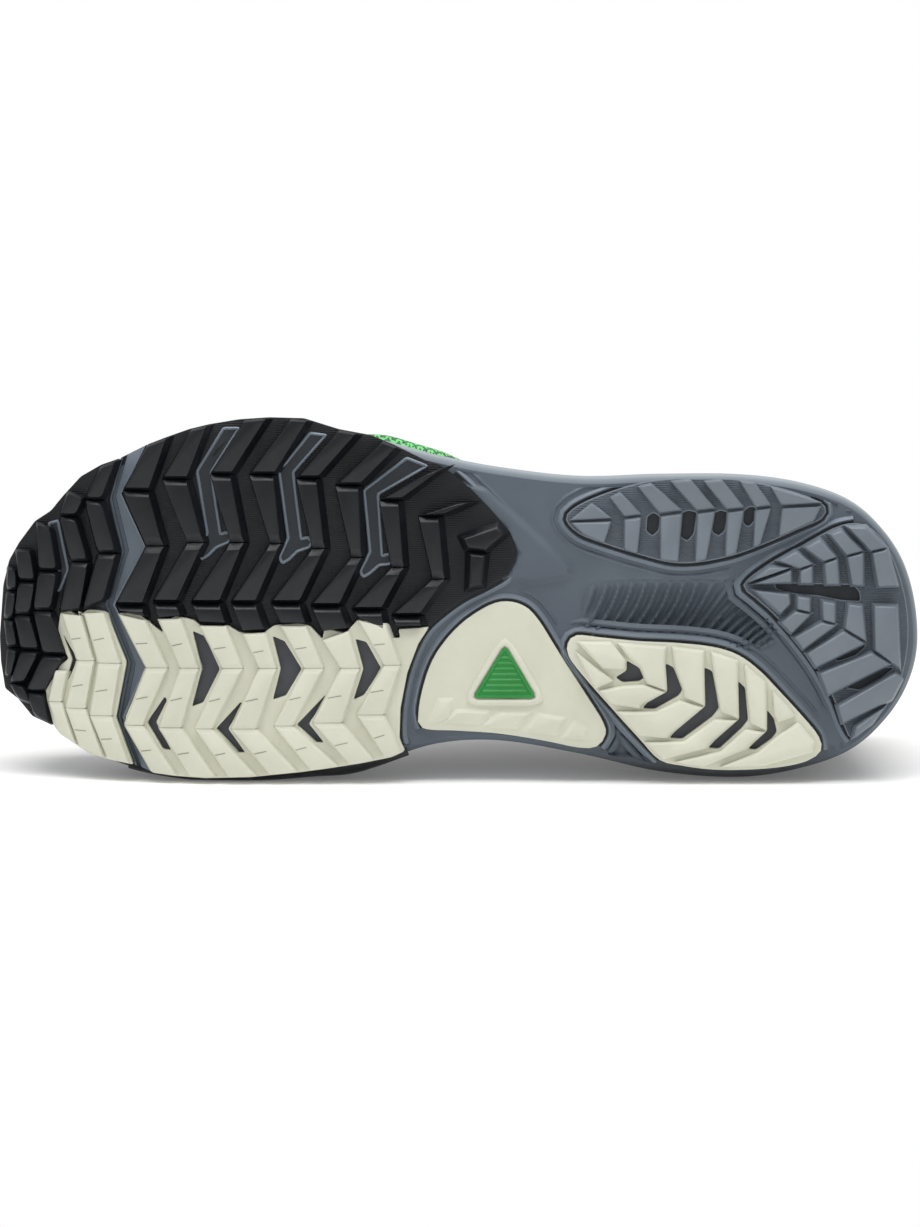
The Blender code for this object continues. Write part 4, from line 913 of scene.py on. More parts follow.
def straight_pod(name, slot, loop, rows, joints, holes=(), rubbers=(BLACK, BLACK_FLOOR), cuts=False,
                 channels=(), blocks=(), face=PLATE, **style):
    """A pod with straight sides and zigzag lug rows."""
    body = pod_plate(cut_corners(loop, 0.0007), holes, 0.0006, face)
    for row in rows:
        row_joints = [*joints[:len(row)], *[joints[-1]] * (len(row) - len(joints))]
        pairs = row_pairs(row, loop)
        arms(body, pairs, row_joints, **style)
        if cuts:
            cut_shade_lines(body, pairs)
    for points in channels:
        channel(body, spots(*points))
    for points in blocks:
        block(body, spots(*points), 0.0014, 0.0007, drop=0.0012)
    tidy_body(body)
    piece = finish_mesh(name, body, (*rubbers, WINDOW, PAINTED_LIGHT_FOAM, SHADE, PALE_CUT_SHADE))
    shown_for(piece, "outsole_" + name.removesuffix("_pod"))


def curved_pod(name, loop, lugs, holes=(), materials=(PALE, PALE_FLOOR, WINDOW), slope=0.0010, top=TIP,
               tilt=None, drop=0.0004, face=PLATE, facets=0.0003):
    """A pod with a curved outline and lugs that stand each on its own."""
    body = pod_plate(smooth_curve(spots(*loop), 0.002, True), holes, 0.0007, face)
    for lug in lugs:
        block(body, spots(*lug), slope, facets, top=top, tilt=tilt, drop=drop)
    tidy_body(body)
    shown_for(finish_mesh(name, body, materials), "outsole_" + name.removesuffix("_pod"))


def heel_valley(place):
    """The lateral heel lugs lean to both sides of the line on which they meet."""
    middle = spot(0, 514).y
    return -0.0025 * (1 - min(abs(place.y - middle) / 0.012, 1))


BLACK_JOINTS = (Joint(0.0, 0.0003, 0.0006), Joint(0.0004, 0.0010, 0.0017), Joint(0.0003, 0.0026, 0.0023),
                Joint(0.0012, 0.0003, 0.0016), Joint(0.0, 0.0003, 0.0003))
SOFT_JOINTS = (Joint(0.0, 0.0004, 0.0006), Joint(0.0001, 0.0014, 0.0014), Joint(0.0001, 0.0014, 0.0014),
               Joint(0.0001, 0.0006, 0.0006))
TOE_JOINTS = (Joint(0.0, 0.0004, 0.0009), Joint(0.0003, 0.0010, 0.0013), Joint(0.0003, 0.0014, 0.0016),
              Joint(0.0004, 0.0009, 0.0013))
# The pods: their finish slot, outline, lugs and the holes through their plate
HIGH_PLATE = 0.0037
GREY_POD = (GREY, GREY_FLOOR, SLOT)
soft = dict(joints=SOFT_JOINTS, rubbers=(PALE, PALE_FLOOR), heel_slope=0.0012, toe_slope=0.0006, drop=0.0007,
            cuts=True, face=HIGH_PLATE)
straight_pod("lateral_pod", "black_rubber", LATERAL_POD, BLACK_ROWS, BLACK_JOINTS, toe_slope=0.0002,
             channels=CHANNELS, blocks=LAST_BLOCK)
straight_pod("toe_pod", "black_rubber", TOE_POD, TOE_ROWS, TOE_JOINTS, heel_slope=0.0016, drop=0.0017,
             rounding=0.0012, channels=(TOE_CHANNEL,))
straight_pod("medial_front_pod", "pale_rubber", MEDIAL_FRONT_POD, MEDIAL_FRONT_ROWS,
             holes=FRONT_WINDOWS, **soft)
straight_pod("medial_rear_pod", "pale_rubber", MEDIAL_REAR_POD, PALE_ROWS, holes=WINDOWS, **soft)
curved_pod("waist_pod", WAIST_POD, WAIST_LUGS, top=PLATE + 0.0008, slope=0.0012)
curved_pod("heel_medial_pod", HEEL_MEDIAL_POD, HEEL_MEDIAL_LUGS, HEEL_SLOTS, slope=0.0003,
           drop=0.0009, face=HIGH_PLATE, facets=0.0007)
curved_pod("heel_lateral_pod", HEEL_LATERAL_POD, HEEL_LATERAL_LUGS, HEEL_LATERAL_HOLES,
           GREY_POD, slope=0.0004, tilt=heel_valley)
curved_pod("heel_rear_pod", HEEL_REAR_POD, HEEL_REAR_LUGS, HEEL_REAR_HOLES, GREY_POD)


def make_badge():
    """The plain green triangle with low ribs across it, and the pale raised frame round it."""
    body = bmesh.new()
    loop = cut_corners(anticlockwise(BADGE), 0.0022)
    rings = ledge(body, loop, ((0.0002, PLATE - 0.0003), (0.0003, PLATE + 0.0006), (0.0006, PLATE + 0.0009),
                               (0.0012, PLATE + 0.0009), (0.0014, PLATE + 0.0006)))
    body.faces.new(rings[-1]).material_index = 0
    apex, base = BADGE[0], (BADGE[1] + BADGE[2]) / 2
    for step in range(7):
        share = 0.26 + 0.1 * step
        middle = apex.lerp(base, share)
        half = (BADGE[1] - base) * (share * 0.86 - 0.07)
        up = (apex - base).normalized() * 0.0004
        bar = [middle + half + up, middle - half + up, middle - half - up, middle + half - up]
        block(body, bar, 0.0002, 0.0001, PLATE + 0.0010, PLATE + 0.0005, 0.0002, rounding=0.0002)
    tidy_body(body)
    shown_for(finish_mesh("green_inlay", body, (GREEN,)), "waist_badge")
    body = bmesh.new()
    ledge(body, loop, ((-0.0023, PLATE - 0.0002), (-0.0020, PLATE + 0.0004), (-0.0016, PLATE + 0.0008),
                       (-0.0009, PLATE + 0.0009), (-0.0003, PLATE + 0.0007), (0.0001, PLATE - 0.0002)))
    body.normal_update()
    tidy_body(body)
    finish_mesh("inlay_frame", body, (PALE,), 50)


make_badge()


# Midsole foam


def in_the_arch(x, y):
    """1 in the middle of the hollow under the arch, 0 outside it."""
    reach = (x - along(26)) / along(11)
    width = (y - across(-1.5)) / across(10)
    return max(0.0, 1 - reach * reach) * max(0.0, 1 - width * width)


def foam_depth(x, y):
    """Relief of the foam's underside: the long hollow under the arch, the raised facet and the pointed
    recess."""
    depth = -ARCH_HOLLOW * in_the_arch(x, y)
    if 20 < percent_at(x) < 52:
        place = Vector((x, y))
        depth += 0.0018 * ease(reach_inside(place, RAISED_FACET) / 0.0024 + 0.3)
        depth -= 0.0020 * ease(reach_inside(place, SPUR) / 0.0018 + 0.4)
    return depth


# The foam's side: rise as a share of the wall's height, inset as a share of RIM_WALL
Step = namedtuple("Step", "rise inset")
SIDE_WALL = [Step(*row) for row in (
    (0.0, 0.5), (0.05, 0.27), (0.1, 0.13), (0.2, 0.04), (0.34, 0.0), (0.46, 0.03), (0.5, 0.06),
    (0.515, 0.2), (0.53, 0.3), (0.59, 0.3), (0.61, 0.2), (0.63, 0.1), (0.78, 0.17), (0.92, 0.26),
    (0.975, 0.32), (1.0, 0.46),
)]
FOAM_TURNS = 640
FOAM_RINGS = 72


def make_midsole():
    """The foam: underside with its relief, side wall with its parting groove, rim and foot bed, in rings."""
    body = bmesh.new()
    turns = [2 * math.pi * index / FOAM_TURNS for index in range(FOAM_TURNS)]

    rise_of = {}

    def ring(inset, share, height, rise=0.0):
        places = [ring_point(turn, inset, share) for turn in turns]
        row = [body.verts.new((place.x, place.y, height(place.x, place.y))) for place in places]
        rise_of.update((vert, rise) for vert in row)
        return row

    def bottom(x, y):
        return ground(x) + TIP - foam_depth(x, y)

    edge_inset = SIDE_WALL[0].inset * RIM_WALL
    rings = [ring(edge_inset, (index / FOAM_RINGS) ** 0.8, bottom) for index in range(FOAM_RINGS + 1)]
    for step in SIDE_WALL[1:]:
        def wall_height(x, y, rise=step.rise):
            low = bottom(x, y)
            return low + rise * (bed(x) + rim_rise(x) - low)
        rings.append(ring(step.inset * RIM_WALL, 1.0, wall_height, step.rise))
    rings.append(ring(0.8 * RIM_WALL, 1.0, lambda x, y: bed(x) + rim_rise(x) + 0.0002, 1.0))
    rings.append(ring(RIM_WALL, 1.0, lambda x, y: bed(x) + rim_rise(x) - 0.0006))
    rings += [ring(RIM_WALL, share, lambda x, y: bed(x)) for share in (1.0, 0.6, 0)]
    join_rings(body, rings)
    layer = body.loops.layers.uv.new("side_rise")
    for face in body.faces:
        for loop in face.loops:
            loop[layer].uv = (rise_of[loop.vert], 0.0)
    tidy_body(body)
    return finish_mesh("midsole_foam", body, (FOAM,))


def make_rims():
    """The foam's raised rims round the pods, and the zigzag flex groove between toe and ball."""
    body = bmesh.new()
    paths = [smooth_curve(spots(*points), 0.0015, False) for side, points in RIM_LINES]

    def clear_of(others, place, depth):
        """The outer rim sinks into the foam where another rim runs close by."""
        nearest = min((place - other).length for path in others for other in path)
        return depth - 0.0014 * (1 - ease((nearest - 0.0048) / 0.0024))

    for (side, _), line in zip(RIM_LINES, paths):
        others = [path for path in paths if path is not line]
        # The strip by the pod is painted shade, the rim's crest painted highlight
        for profile, material in ((SHADE_STRIP, 2), (RIM_PROFILE, 1), (OUTER_RIM_PROFILE, 0)):
            strips = []
            for reach, depth in profile:
                places = [on_the_foam(place) for place in beside(line, side * reach)]
                outer = profile is OUTER_RIM_PROFILE
                strips.append((places,
                               [clear_of(others, place, depth) for place in places] if outer else depth))
            ribbon(body, strips, material)
    toe_side, heel_side = spots(*ZIGZAG_TOE), spots(*ZIGZAG_HEEL)
    pixel = LENGTH / LONG_PX

    def between(start, reach):
        """A line a number of pixels in from the toe side, or for a negative number from the heel side."""
        line = []
        for first, second in zip(toe_side, heel_side):
            width = (second - first).length
            share = start + reach * pixel / width
            line.append(first.lerp(second, share))
        return line

    groove = ((0, 0.5, -0.0006), (0, 1.2, 0.0009), (0, 2.6, 0.0012), (0, 3.8, 0.0005), (0, 4.4, -0.0004),
              (0, 7.6, -0.0004), (0, 8.6, 0.0003), (1, -3.2, 0.0014), (1, -2.4, 0.0019), (1, -0.9, 0.0019),
              (1, -0.3, -0.0005))
    lines = [(between(start, reach), depth) for start, reach, depth in groove]
    # The crests are in the lighter foam, painted highlight; the groove between them in the darker foam,
    # painted shade
    ribbon(body, lines[:4], 1)
    ribbon(body, lines[3:7], 2)
    ribbon(body, lines[6:], 1)
    tidy_body(body, None)
    finish_mesh("foam_rims", body, (FOAM, PAINTED_LIGHT_FOAM, SHADE), 40)


def make_arch_ribs():
    """Crescent ribs in the hollow under the arch, on a fine patch of the foam's own surface."""
    body = bmesh.new()
    step = 0.0006
    low, high = spot(800, 654), spot(552, 572)
    columns = int((high.x - low.x) / step)
    lines = int((high.y - low.y) / step)
    rows = []
    for line in range(lines + 1):
        rows.append([])
        for number in range(columns + 1):
            x, y = low.x + number * step, low.y + line * step
            within = in_the_arch(x, y)
            across_px = HEEL_PX - LONG_PX * x / LENGTH
            down_px = MIDLINE_PX - WIDE_PX * y / BALL_WIDTH
            lean = 0.4 + 0.8 * ease((across_px - 690) / 90)
            phase = (across_px + lean * (down_px - 615) + 0.006 * (down_px - 600) ** 2) / 12.6
            fade = ease(within * 4.0) * ease((down_px - 572) / 24)
            crest = (0.5 + 0.5 * math.sin(2 * math.pi * phase)) ** 1.5
            depth = foam_depth(x, y) + 0.0002 + 0.0026 * fade * crest - 0.0009 * (1 - ease(within * 8))
            rows[-1].append(body.verts.new(under(Vector((x, y)), depth)))
    join_rings(body, rows, 0, False)
    tidy_body(body, None)
    finish_mesh("arch_ribs", body, (FOAM,), 60)


def make_medial_shadow_band():
    """A black band on the foam's medial side under the ball, where it meets the ground: painted shade of the
    foam's contact with the floor.
    """
    turns = [2 * math.pi - angle(percent) for percent in [55.5 + 0.5 * step for step in range(62)]]
    profile = ((0.00, 0.0026), (0.03, 0.0014), (0.07, 0.0003), (0.16, -0.0005), (0.30, -0.0006),
               (0.42, -0.0005), (0.45, 0.0002), (0.46, 0.0010))
    body = bmesh.new()
    rows = []
    for full_rise, inset in profile:
        rows.append([])
        for turn in turns:
            bulge = 0.0016 * bell((percent_of(turn) - 61.5) / 3.5) * ease(full_rise / 0.07)
            place = ring_point(turn, inset - bulge, 1.0)
            low = ground(place.x) + TIP
            rise = full_rise * (0.1 + 0.9 * ease((percent_of(turn) - 55.5) / 5))
            rows[-1].append(body.verts.new((place.x, place.y,
                                            low + rise * (bed(place.x) + rim_rise(place.x) - low))))
    join_rings(body, rows, 0, False)
    tidy_body(body, None)
    # The black rubber here is painted shade
    finish_mesh("medial_painted_shadow_band", body, (BLACK,), 50)


shown_for(make_midsole(), "midsole")
make_rims()
make_arch_ribs()
make_medial_shadow_band()


# Knit upper and what is laid on it


def textile(name, dark, light, roughness, pitch, depth=0.00025, sheen=0.25):
    """Woven or knitted cloth: crossing yarns in relief, about three to each pitch in millimetres, a slight
    mix of two yarn colours and a soft nap."""
    material, add, place = new_material(name, roughness, Sheen_Weight=sheen, Sheen_Roughness=0.5)
    warp, weft = [add("TexWave", "Fac",
                      {"Vector": place, "Scale": 1 / pitch, "Distortion": 1.2, "Detail": 1.0},
                      bands_direction=way) for way in ("X", "DIAGONAL")]
    yarns = add("Math", 0, {0: warp, 1: weft}, operation="MULTIPLY")
    mixed = add("Math", 0, {0: yarns, 1: patches(add, place, 0.12, 3.0, -0.25, 0.25)}, operation="ADD")
    colour = add("Mix", 2, {"Factor": mixed, 6: linear(dark), 7: linear(light)}, data_type="RGBA")
    return finish_material(material, Base_Color=colour,
                           Normal=relief(add, place, (yarns, depth, 0.7), ((2.5, 3.0), 0.0001, 0.4)))


def jacquard_mesh():
    """Engineered mesh: green yarn that runs into charcoal towards the medial side, with a darker zigzag
    knitted in, air holes and a soft nap. The zigzag is 1.9 mm high and 3 mm from row to row. The holes are
    1.25 mm apart, drawn coarser than they are, so that they show."""
    material, add, place = new_material("jacquard_knit_mesh", 0.78, Sheen_Weight=0.3)
    flat = add("UVMap", "UV", {}, uv_map="wall_mm")
    fold = add("Math", 0, {0: add("SeparateXYZ", "X", {"Vector": flat}), 1: 1.9}, operation="PINGPONG")
    climb = add("Math", 0, {0: add("SeparateXYZ", "Y", {"Vector": flat}), 1: fold}, operation="ADD")
    bands = add("Math", 0, {0: climb, 1: 1.5}, operation="PINGPONG")
    limit = patches(add, flat, 0.04, 2.0, 0.30, 0.85, (0.35, 0.65))
    dark_band = add("Math", 0, {0: bands, 1: limit}, operation="LESS_THAN")
    cells = add("TexVoronoi", "Distance", {"Vector": flat, "Scale": 0.8, "Randomness": 0.2}, feature="F1")
    holes = add("MapRange", "Result", {"Value": cells, "From Min": 0.14, "From Max": 0.32})
    wavering = add("Math", 0, {0: add("SeparateXYZ", "Z", {"Vector": place}),
                               1: patches(add, place, 0.02, 3.0, -9.0, 9.0)}, operation="ADD")
    lateral = add("MapRange", "Result", {"Value": wavering, "From Min": 26.0, "From Max": 74.0})
    light_yarn, dark_yarn = [add("Mix", 2, {"Factor": lateral, 6: linear(medial), 7: linear(green)},
                                 data_type="RGBA")
                             for medial, green in (("24292c", "66cf70"), ("14171a", "27643a"))]
    yarn = add("Mix", 2, {"Factor": dark_band, 6: light_yarn, 7: dark_yarn}, data_type="RGBA")
    colour = add("Mix", 2, {"Factor": holes, 6: linear("0f1613"), 7: yarn}, data_type="RGBA")
    fine = add("TexWave", "Fac", {"Vector": flat, "Scale": 1.1, "Distortion": 1.5},
               bands_direction="DIAGONAL")
    return finish_material(material, Base_Color=colour, Normal=relief(
        add, flat, (holes, 0.0005, 0.8), (dark_band, 0.0002, 0.4), (fine, 0.0002, 0.5)))


def film(name, colour, roughness, grain=0.3):
    """Hot-melt film pressed on the knit: satin, with the knit's cells, 1.4 mm wide, showing faintly through,
    and paler scuffs that are duller than the rest."""
    material, add, place = new_material(name, roughness, Coat_Weight=0.12, Coat_Roughness=0.35)
    scuffs = patches(add, place, 0.09, 5.0, spread=(0.5, 0.75), roughness=0.7)
    worn = add("Math", 0, {0: scuffs, 1: 0.12}, operation="MULTIPLY")
    mixed = add("Mix", 2, {"Factor": worn, 6: linear(colour), 7: linear("8a8f94")}, data_type="RGBA")
    gloss = add("MapRange", "Result",
                {"Value": scuffs, "To Min": roughness - 0.05, "To Max": roughness + 0.18})
    knit = add("TexVoronoi", "Distance", {"Vector": place, "Scale": 0.7, "Randomness": 0.3})
    return finish_material(material, Base_Color=mixed, Roughness=gloss, Normal=relief(
        add, place, (knit, 0.0002, grain), ((1.5, 3.0), 0.0001, 0.3)))


# Linings and pads are deep charcoal with a dull nap;
# the lace is a lighter, tighter weave, and the thread paler still
MESH = jacquard_mesh()
LINING = textile("collar_lining_textile", "1b1e20", "2c3034", 0.92, 0.9)
COLLAR_CLOTH = textile("collar_padding_knit", "191b1e", "282c30", 0.85, 1.1, 0.0004)
TONGUE_CLOTH = textile("tongue_spacer_textile", "1c1f21", "30353a", 0.9, 1.3, 0.0004)
LACE_CLOTH = textile("flat_woven_lace", "6d747c", "a4aab0", 0.85, 0.75, 0.0003, 0.15)
INSOLE_CLOTH = textile("insole_brushed_textile", "3b4046", "4d535a", 0.95, 0.8)
BLACK_FILM = film("black_hot_melt_film", "17181a", 0.42)
THREAD = textile("polyester_thread", "9aa0a6", "c2c6ca", 0.7, 0.4, 0.0001, 0.1)
DARK_THREAD = textile("dark_polyester_thread", "26292c", "3a3e42", 0.75, 0.4, 0.0001, 0.1)
EYELET = film("punched_eyelet_reinforcement", "101112", 0.35, 0.1)

# Soft creases over the vamp and the quarter: where they start on each side, and how deep and wide they are
Crease = namedtuple("Crease", "lateral medial low high depth width")
CREASES = (
    Crease(72.5, 73.5, 1.2, 4.4, 0.0011, 1.5), Crease(77.0, 78.0, 1.0, 4.4, 0.0008, 1.4),
    Crease(67.5, 66.5, 0.8, 3.2, 0.0007, 1.6), Crease(28.0, 27.0, 0.9, 3.0, 0.0006, 2.2),
)


def window(value, low, high, soft):
    """1 between low and high, with soft ends."""
    return ease((value - low) / soft) * ease((high - value) / soft)


def wall_swell(turn, level):
    """How far the knit stands off its plain form: the padded collar, the toe box and the creases."""
    percent = percent_of(turn)
    lateral = turn % (2 * math.pi) <= math.pi
    swell = 0.0016 * window(level, 3.05, 3.98, 0.45) * ease((37 - percent) / 8)
    swell += 0.0007 * window(level, 1.6, 3.0, 0.5) * window(percent, 3, 30, 7)
    for crease in CREASES:
        place = crease.lateral if lateral else crease.medial
        across_crease = (percent - place - 0.6 * math.sin(level * 1.7)) / crease.width
        along_crease = window(level, crease.low, crease.high, 0.6)
        swell += along_crease * crease.depth * (0.6 * bell(across_crease - 1.3) - bell(across_crease))
    if lateral:
        swell += 0.0050 * window(level, 0.12, 2.7, 0.9) * window(percent, 44, 66, 9)
    return swell


def normals_of(grid, closed):
    """Outward normals of a grid of points, rows by level and columns by turn."""
    rows, count = len(grid), len(grid[0])
    normals = []
    for row in range(rows):
        normals.append([])
        for index in range(count):
            after, before = index + 1, index - 1
            if closed:
                after %= count
            else:
                after, before = min(after, count - 1), max(before, 0)
            forward = grid[row][after] - grid[row][before]
            upward = grid[min(row + 1, rows - 1)][index] - grid[max(row - 1, 0)][index]
            normal = upward.cross(forward)
            normals[-1].append(normal.normalized() if normal.length > 1e-12 else Vector((0, 0, 1)))
    return normals


def make_knit_upper():
    """The lasted knit shell with its lining, and the rolled edge that joins them round the collar and
    throat."""
    turns = [2 * math.pi * index / 420 for index in range(420)]
    levels = [-1, -0.5] + [0.1 * step for step in range(41)]
    plain = [[wall_point(turn, level) for turn in turns] for level in levels]
    normals = normals_of(plain, True)
    outer = [[point + normal * wall_swell(turn, level) for point, normal, turn in zip(row, lean, turns)]
             for row, lean, level in zip(plain, normals, levels)]
    body = bmesh.new()
    body.loops.layers.uv.new("wall_mm")
    marks, run = [], [0.0]
    middle = levels.index(2.0)
    for first, second in zip(plain[middle], plain[middle][1:]):
        run.append(run[-1] + 1000 * (second - first).length)
    climb = [0.0] * len(turns)
    for row in range(len(levels)):
        if row:
            climb = [height + 1000 * (plain[row][index] - plain[row - 1][index]).length
                     for index, height in enumerate(climb)]
        marks.append([(run[index], climb[index]) for index in range(len(turns))])
    rows = [[body.verts.new(point) for point in row] for row in outer]
    join_rings(body, rows, 0, True, marks)

    def inner_depth(turn, level):
        percent = percent_of(turn)
        pad = 0.0030 * window(level, 2.6, 4.3, 0.8) * ease((37 - percent) / 8)
        return UPPER_WALL + pad

    inner = []
    for row, lean, level in zip(outer, normals, levels):
        inner.append([point - normal * inner_depth(turn, level) for point, normal,
                      turn in zip(row, lean, turns)])
    roll = []
    for share in (0.12, 0.32, 0.5, 0.68, 0.88):
        roll.append([])
        for index, turn in enumerate(turns):
            start, end = outer[-1][index], inner[-1][index]
            rise = (outer[-1][index] - outer[-2][index]).normalized()
            height = 0.5 * (start - end).length * math.sin(math.pi * share) * 0.8
            roll[-1].append(start.lerp(end, share) + rise * height)
    rim = [rows[-1]] + [[body.verts.new(point) for point in row] for row in roll]
    inside_rows = [[body.verts.new(point) for point in row] for row in inner[::-1]]
    join_rings(body, rim + inside_rows + [rows[0]], 1)
    tidy_body(body)
    return finish_mesh("knit_upper", body, (MESH, LINING), 60)


# How a film's edge rises out of the knit: the share of its thickness
# at the first points in from its side and from its end
SIDE_RISE = {0: -0.35, 1: 0.35, 2: 0.85}
END_RISE = {0: -0.35, 1: 0.5, 2: 0.9}


def lay_over(name, turns, low, high, lift, material, steps=14):
    """A film or a padded piece laid on the upper between two levels that change along it."""
    body = bmesh.new()
    body.loops.layers.uv.new("wall_mm")
    inner_shares = [0.06 + 0.88 * step / steps for step in range(1, steps + 1)]
    shares = [0, 0.012, 0.03, 0.06, *inner_shares, 0.97, 0.988, 1]
    rows, marks = [], []
    last, final = len(shares) - 1, len(turns) - 1
    for number, share in enumerate(shares):
        stand = SIDE_RISE.get(min(number, last - number), 1.0)
        row, row_marks = [], []
        for index, turn in enumerate(turns):
            edge = END_RISE.get(min(index, final - index), 1.0)
            level = low(turn) + (high(turn) - low(turn)) * share
            height = lift * min(stand, edge) + wall_swell(turn, level) + 0.0001
            row.append(body.verts.new(wall_point(turn, level) + wall_normal(turn, level) * height))
            row_marks.append((turn * 100, level * 18))
        rows.append(row)
        marks.append(row_marks)
    join_rings(body, rows, 0, False, marks)
    body.normal_update()
    return finish_mesh(name, body, (material,), 50)


def round_the_end(start, end, count):
    """Turns round the toe or the heel, from one side of the shoe to the other."""
    return [start + (end - start) * index / count for index in range(count + 1)]


def turns_between(first, last, side, count):
    """Turns on one side of the shoe between two places along it."""
    values = round_the_end(angle(first), angle(last), count)
    return values if side > 0 else [2 * math.pi - value for value in values]


def level_at(turn, share):
    """The level at which the wall has risen by a share of INSTEP_HEIGHT over the foot bed."""
    percent = percent_of(turn)
    height = UPPER_CURVES["height"](percent)
    foot = ring_point(turn, RIM_WALL, 1.0)
    rim = rim_rise(foot.x) / INSTEP_HEIGHT
    quarter = max(0.25 * height, rim + 0.05)
    knots = ((rim, 0.0), (quarter, 1.0), (0.55 * height, 2.0), (0.85 * height, 3.0), (height, 4.0))
    for (low, first), (high, second) in zip(knots, knots[1:]):
        if share <= high:
            return first + (second - first) * max(share - low, 0) / (high - low)
    return 4.0


def curve_of(*pairs):
    """A smooth curve through (percent of the length, value) pairs."""
    knots, values = [pair[0] for pair in pairs], [pair[1] for pair in pairs]
    return lambda percent: through(knots, values, percent)


TOE_CAP_TOP = curve_of((64, 0.10), (71, 0.17), (80, 0.20), (89, 0.215), (94, 0.27), (97, 0.36), (100, 0.40))
COUNTER_TOP = curve_of((0, 0.68), (4, 0.64), (9, 0.52), (16, 0.36), (24, 0.26), (30, 0.20))


RAND_TOPS = {1: curve_of((27, 0.23), (36, 0.16), (50, 0.15), (60, 0.15), (68, 0.15)),
             -1: curve_of((27, 0.24), (36, 0.36), (46, 0.40), (56, 0.30), (68, 0.16))}


def make_films():
    """The black films along the foam: toe cap, a low rand on each side and heel counter."""
    rands = [turns_between(25.6, 67.5, side, 60) for side in (1, -1)]
    for name, node, turns, top, lift, steps in (
            ("toe_cap_film", "toe_cap", round_the_end(angle(66), 2 * math.pi - angle(66), 150),
             TOE_CAP_TOP, 0.0014, 14),
            ("rand_lateral", None, rands[0], RAND_TOPS[1], 0.0008, 6),
            ("rand_medial", None, rands[1], RAND_TOPS[-1], 0.0008, 6),
            ("heel_counter_film", "heel_counter", round_the_end(-angle(27), angle(27), 120),
             COUNTER_TOP, 0.0014, 14)):
        piece = lay_over(name, turns, lambda turn: 0.0, lambda turn: level_at(turn, top(percent_of(turn))),
                         lift, BLACK_FILM, steps)
        if node:
            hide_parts(node)


def make_padded_collar():
    """The soft black band round the ankle, puffed by the foam in it."""
    turns = round_the_end(-angle(37.2), angle(37.2), 180)
    piece = lay_over("padded_collar", turns, lambda turn: 3.18, lambda turn: 3.995, 0.0011, COLLAR_CLOTH)


EYESTAY_LOW = curve_of((36, 3.05), (42, 2.95), (54, 3.0), (62, 3.12), (68, 3.35), (71, 3.5), (74, 3.72))


def make_eyestay():
    """The lace stay: one band down each side of the throat, which meet over the vamp."""
    body = bmesh.new()
    body.loops.layers.uv.new("wall_mm")
    for side in (1, -1):
        turns = turns_between(36.6, 73.8, side, 90)
        shares = (0, 0.02, 0.05, 0.1, 0.25, 0.4, 0.55, 0.7, 0.85, 0.95, 1.0)
        rows, marks = [], []
        for number, share in enumerate(shares):
            row, row_marks = [], []
            for index, turn in enumerate(turns):
                level = EYESTAY_LOW(percent_of(turn))
                closed = percent_of(turn) >= THROAT_FRONT
                level += ((4.0 if closed else 3.985) - level) * share
                stand = (-0.35, 0.4, 0.9, 1.0)[min(number, 3)]
                if not closed and number > 8:
                    stand = (0.9, 0.3)[number - 9]
                lift = 0.0016 * min(stand, END_RISE.get(index, 1.0)) + wall_swell(turn, level)
                lean = wall_normal(turn, level)
                if closed and share == 1.0:
                    lean = (lean + wall_normal(-turn, level)).normalized()
                row.append(body.verts.new(wall_point(turn, level) + lean * lift))
                row_marks.append((turn * 100, level * 18))
            rows.append(row)
            marks.append(row_marks)
        join_rings(body, rows, 0, False, marks)
    tidy_body(body, 2e-5)
    shown_for(finish_mesh("eyestay_film", body, (BLACK_FILM,), 50), "eyestay")


STITCH_PITCH = 0.0030
STITCH_LENGTH = 0.0021
STITCH_WIDTH = 0.00035


def stitches(name, tracks, material):
    """Rows of thread: each track is a list of (place, normal), and each stitch a low rounded bar along
    it."""
    body = bmesh.new()
    for track in tracks:
        walked, wanted = 0.0, 0.0
        for (here, lean), (there, _) in zip(track, track[1:]):
            step = there - here
            while step.length > 1e-9 and wanted <= walked + step.length:
                spot_at = here + step * ((wanted - walked) / step.length)
                ahead = step.normalized()
                aside = ahead.cross(lean).normalized()
                rings = []
                for share, size in ((-0.5, 0.35), (-0.38, 1.0), (0.38, 1.0), (0.5, 0.35)):
                    middle = spot_at + ahead * STITCH_LENGTH * share + lean * 0.0001
                    arch = [(-1, 0), (-0.7, 0.8), (0, 1.15), (0.7, 0.8), (1, 0)]
                    rings.append([body.verts.new(middle + (aside * a + lean * b) * STITCH_WIDTH * size)
                                  for a, b in arch])
                join_rings(body, rings, 0, False)
                wanted += STITCH_PITCH
            walked += step.length
    body.normal_update()
    return finish_mesh(name, body, (material,), 60)


def wall_track(turns, level, lift):
    """Places and normals along the upper, at a level and a lift over the knit."""
    track = []
    for turn in turns:
        here = level(turn)
        normal = wall_normal(turn, here)
        track.append((wall_point(turn, here) + normal * (lift + wall_swell(turn, here)), normal))
    return track


def make_stitching():
    """Two rows of thread along each side of the eyestay, and one round the collar."""
    tracks = [wall_track(turns_between(38.4, 73, side, 120),
                         lambda turn: EYESTAY_LOW(percent_of(turn)) + 0.10, 0.0016) for side in (1, -1)]
    tracks += [wall_track(turns_between(38.4, 67.4, side, 100), lambda turn: 3.86, 0.0016)
               for side in (1, -1)]
    stitches("eyestay_stitches", tracks, THREAD)
    collar = [wall_track(round_the_end(-angle(36), angle(36), 160), lambda turn: 3.06, 0.0003)]
    stitches("collar_stitches", collar, DARK_THREAD)


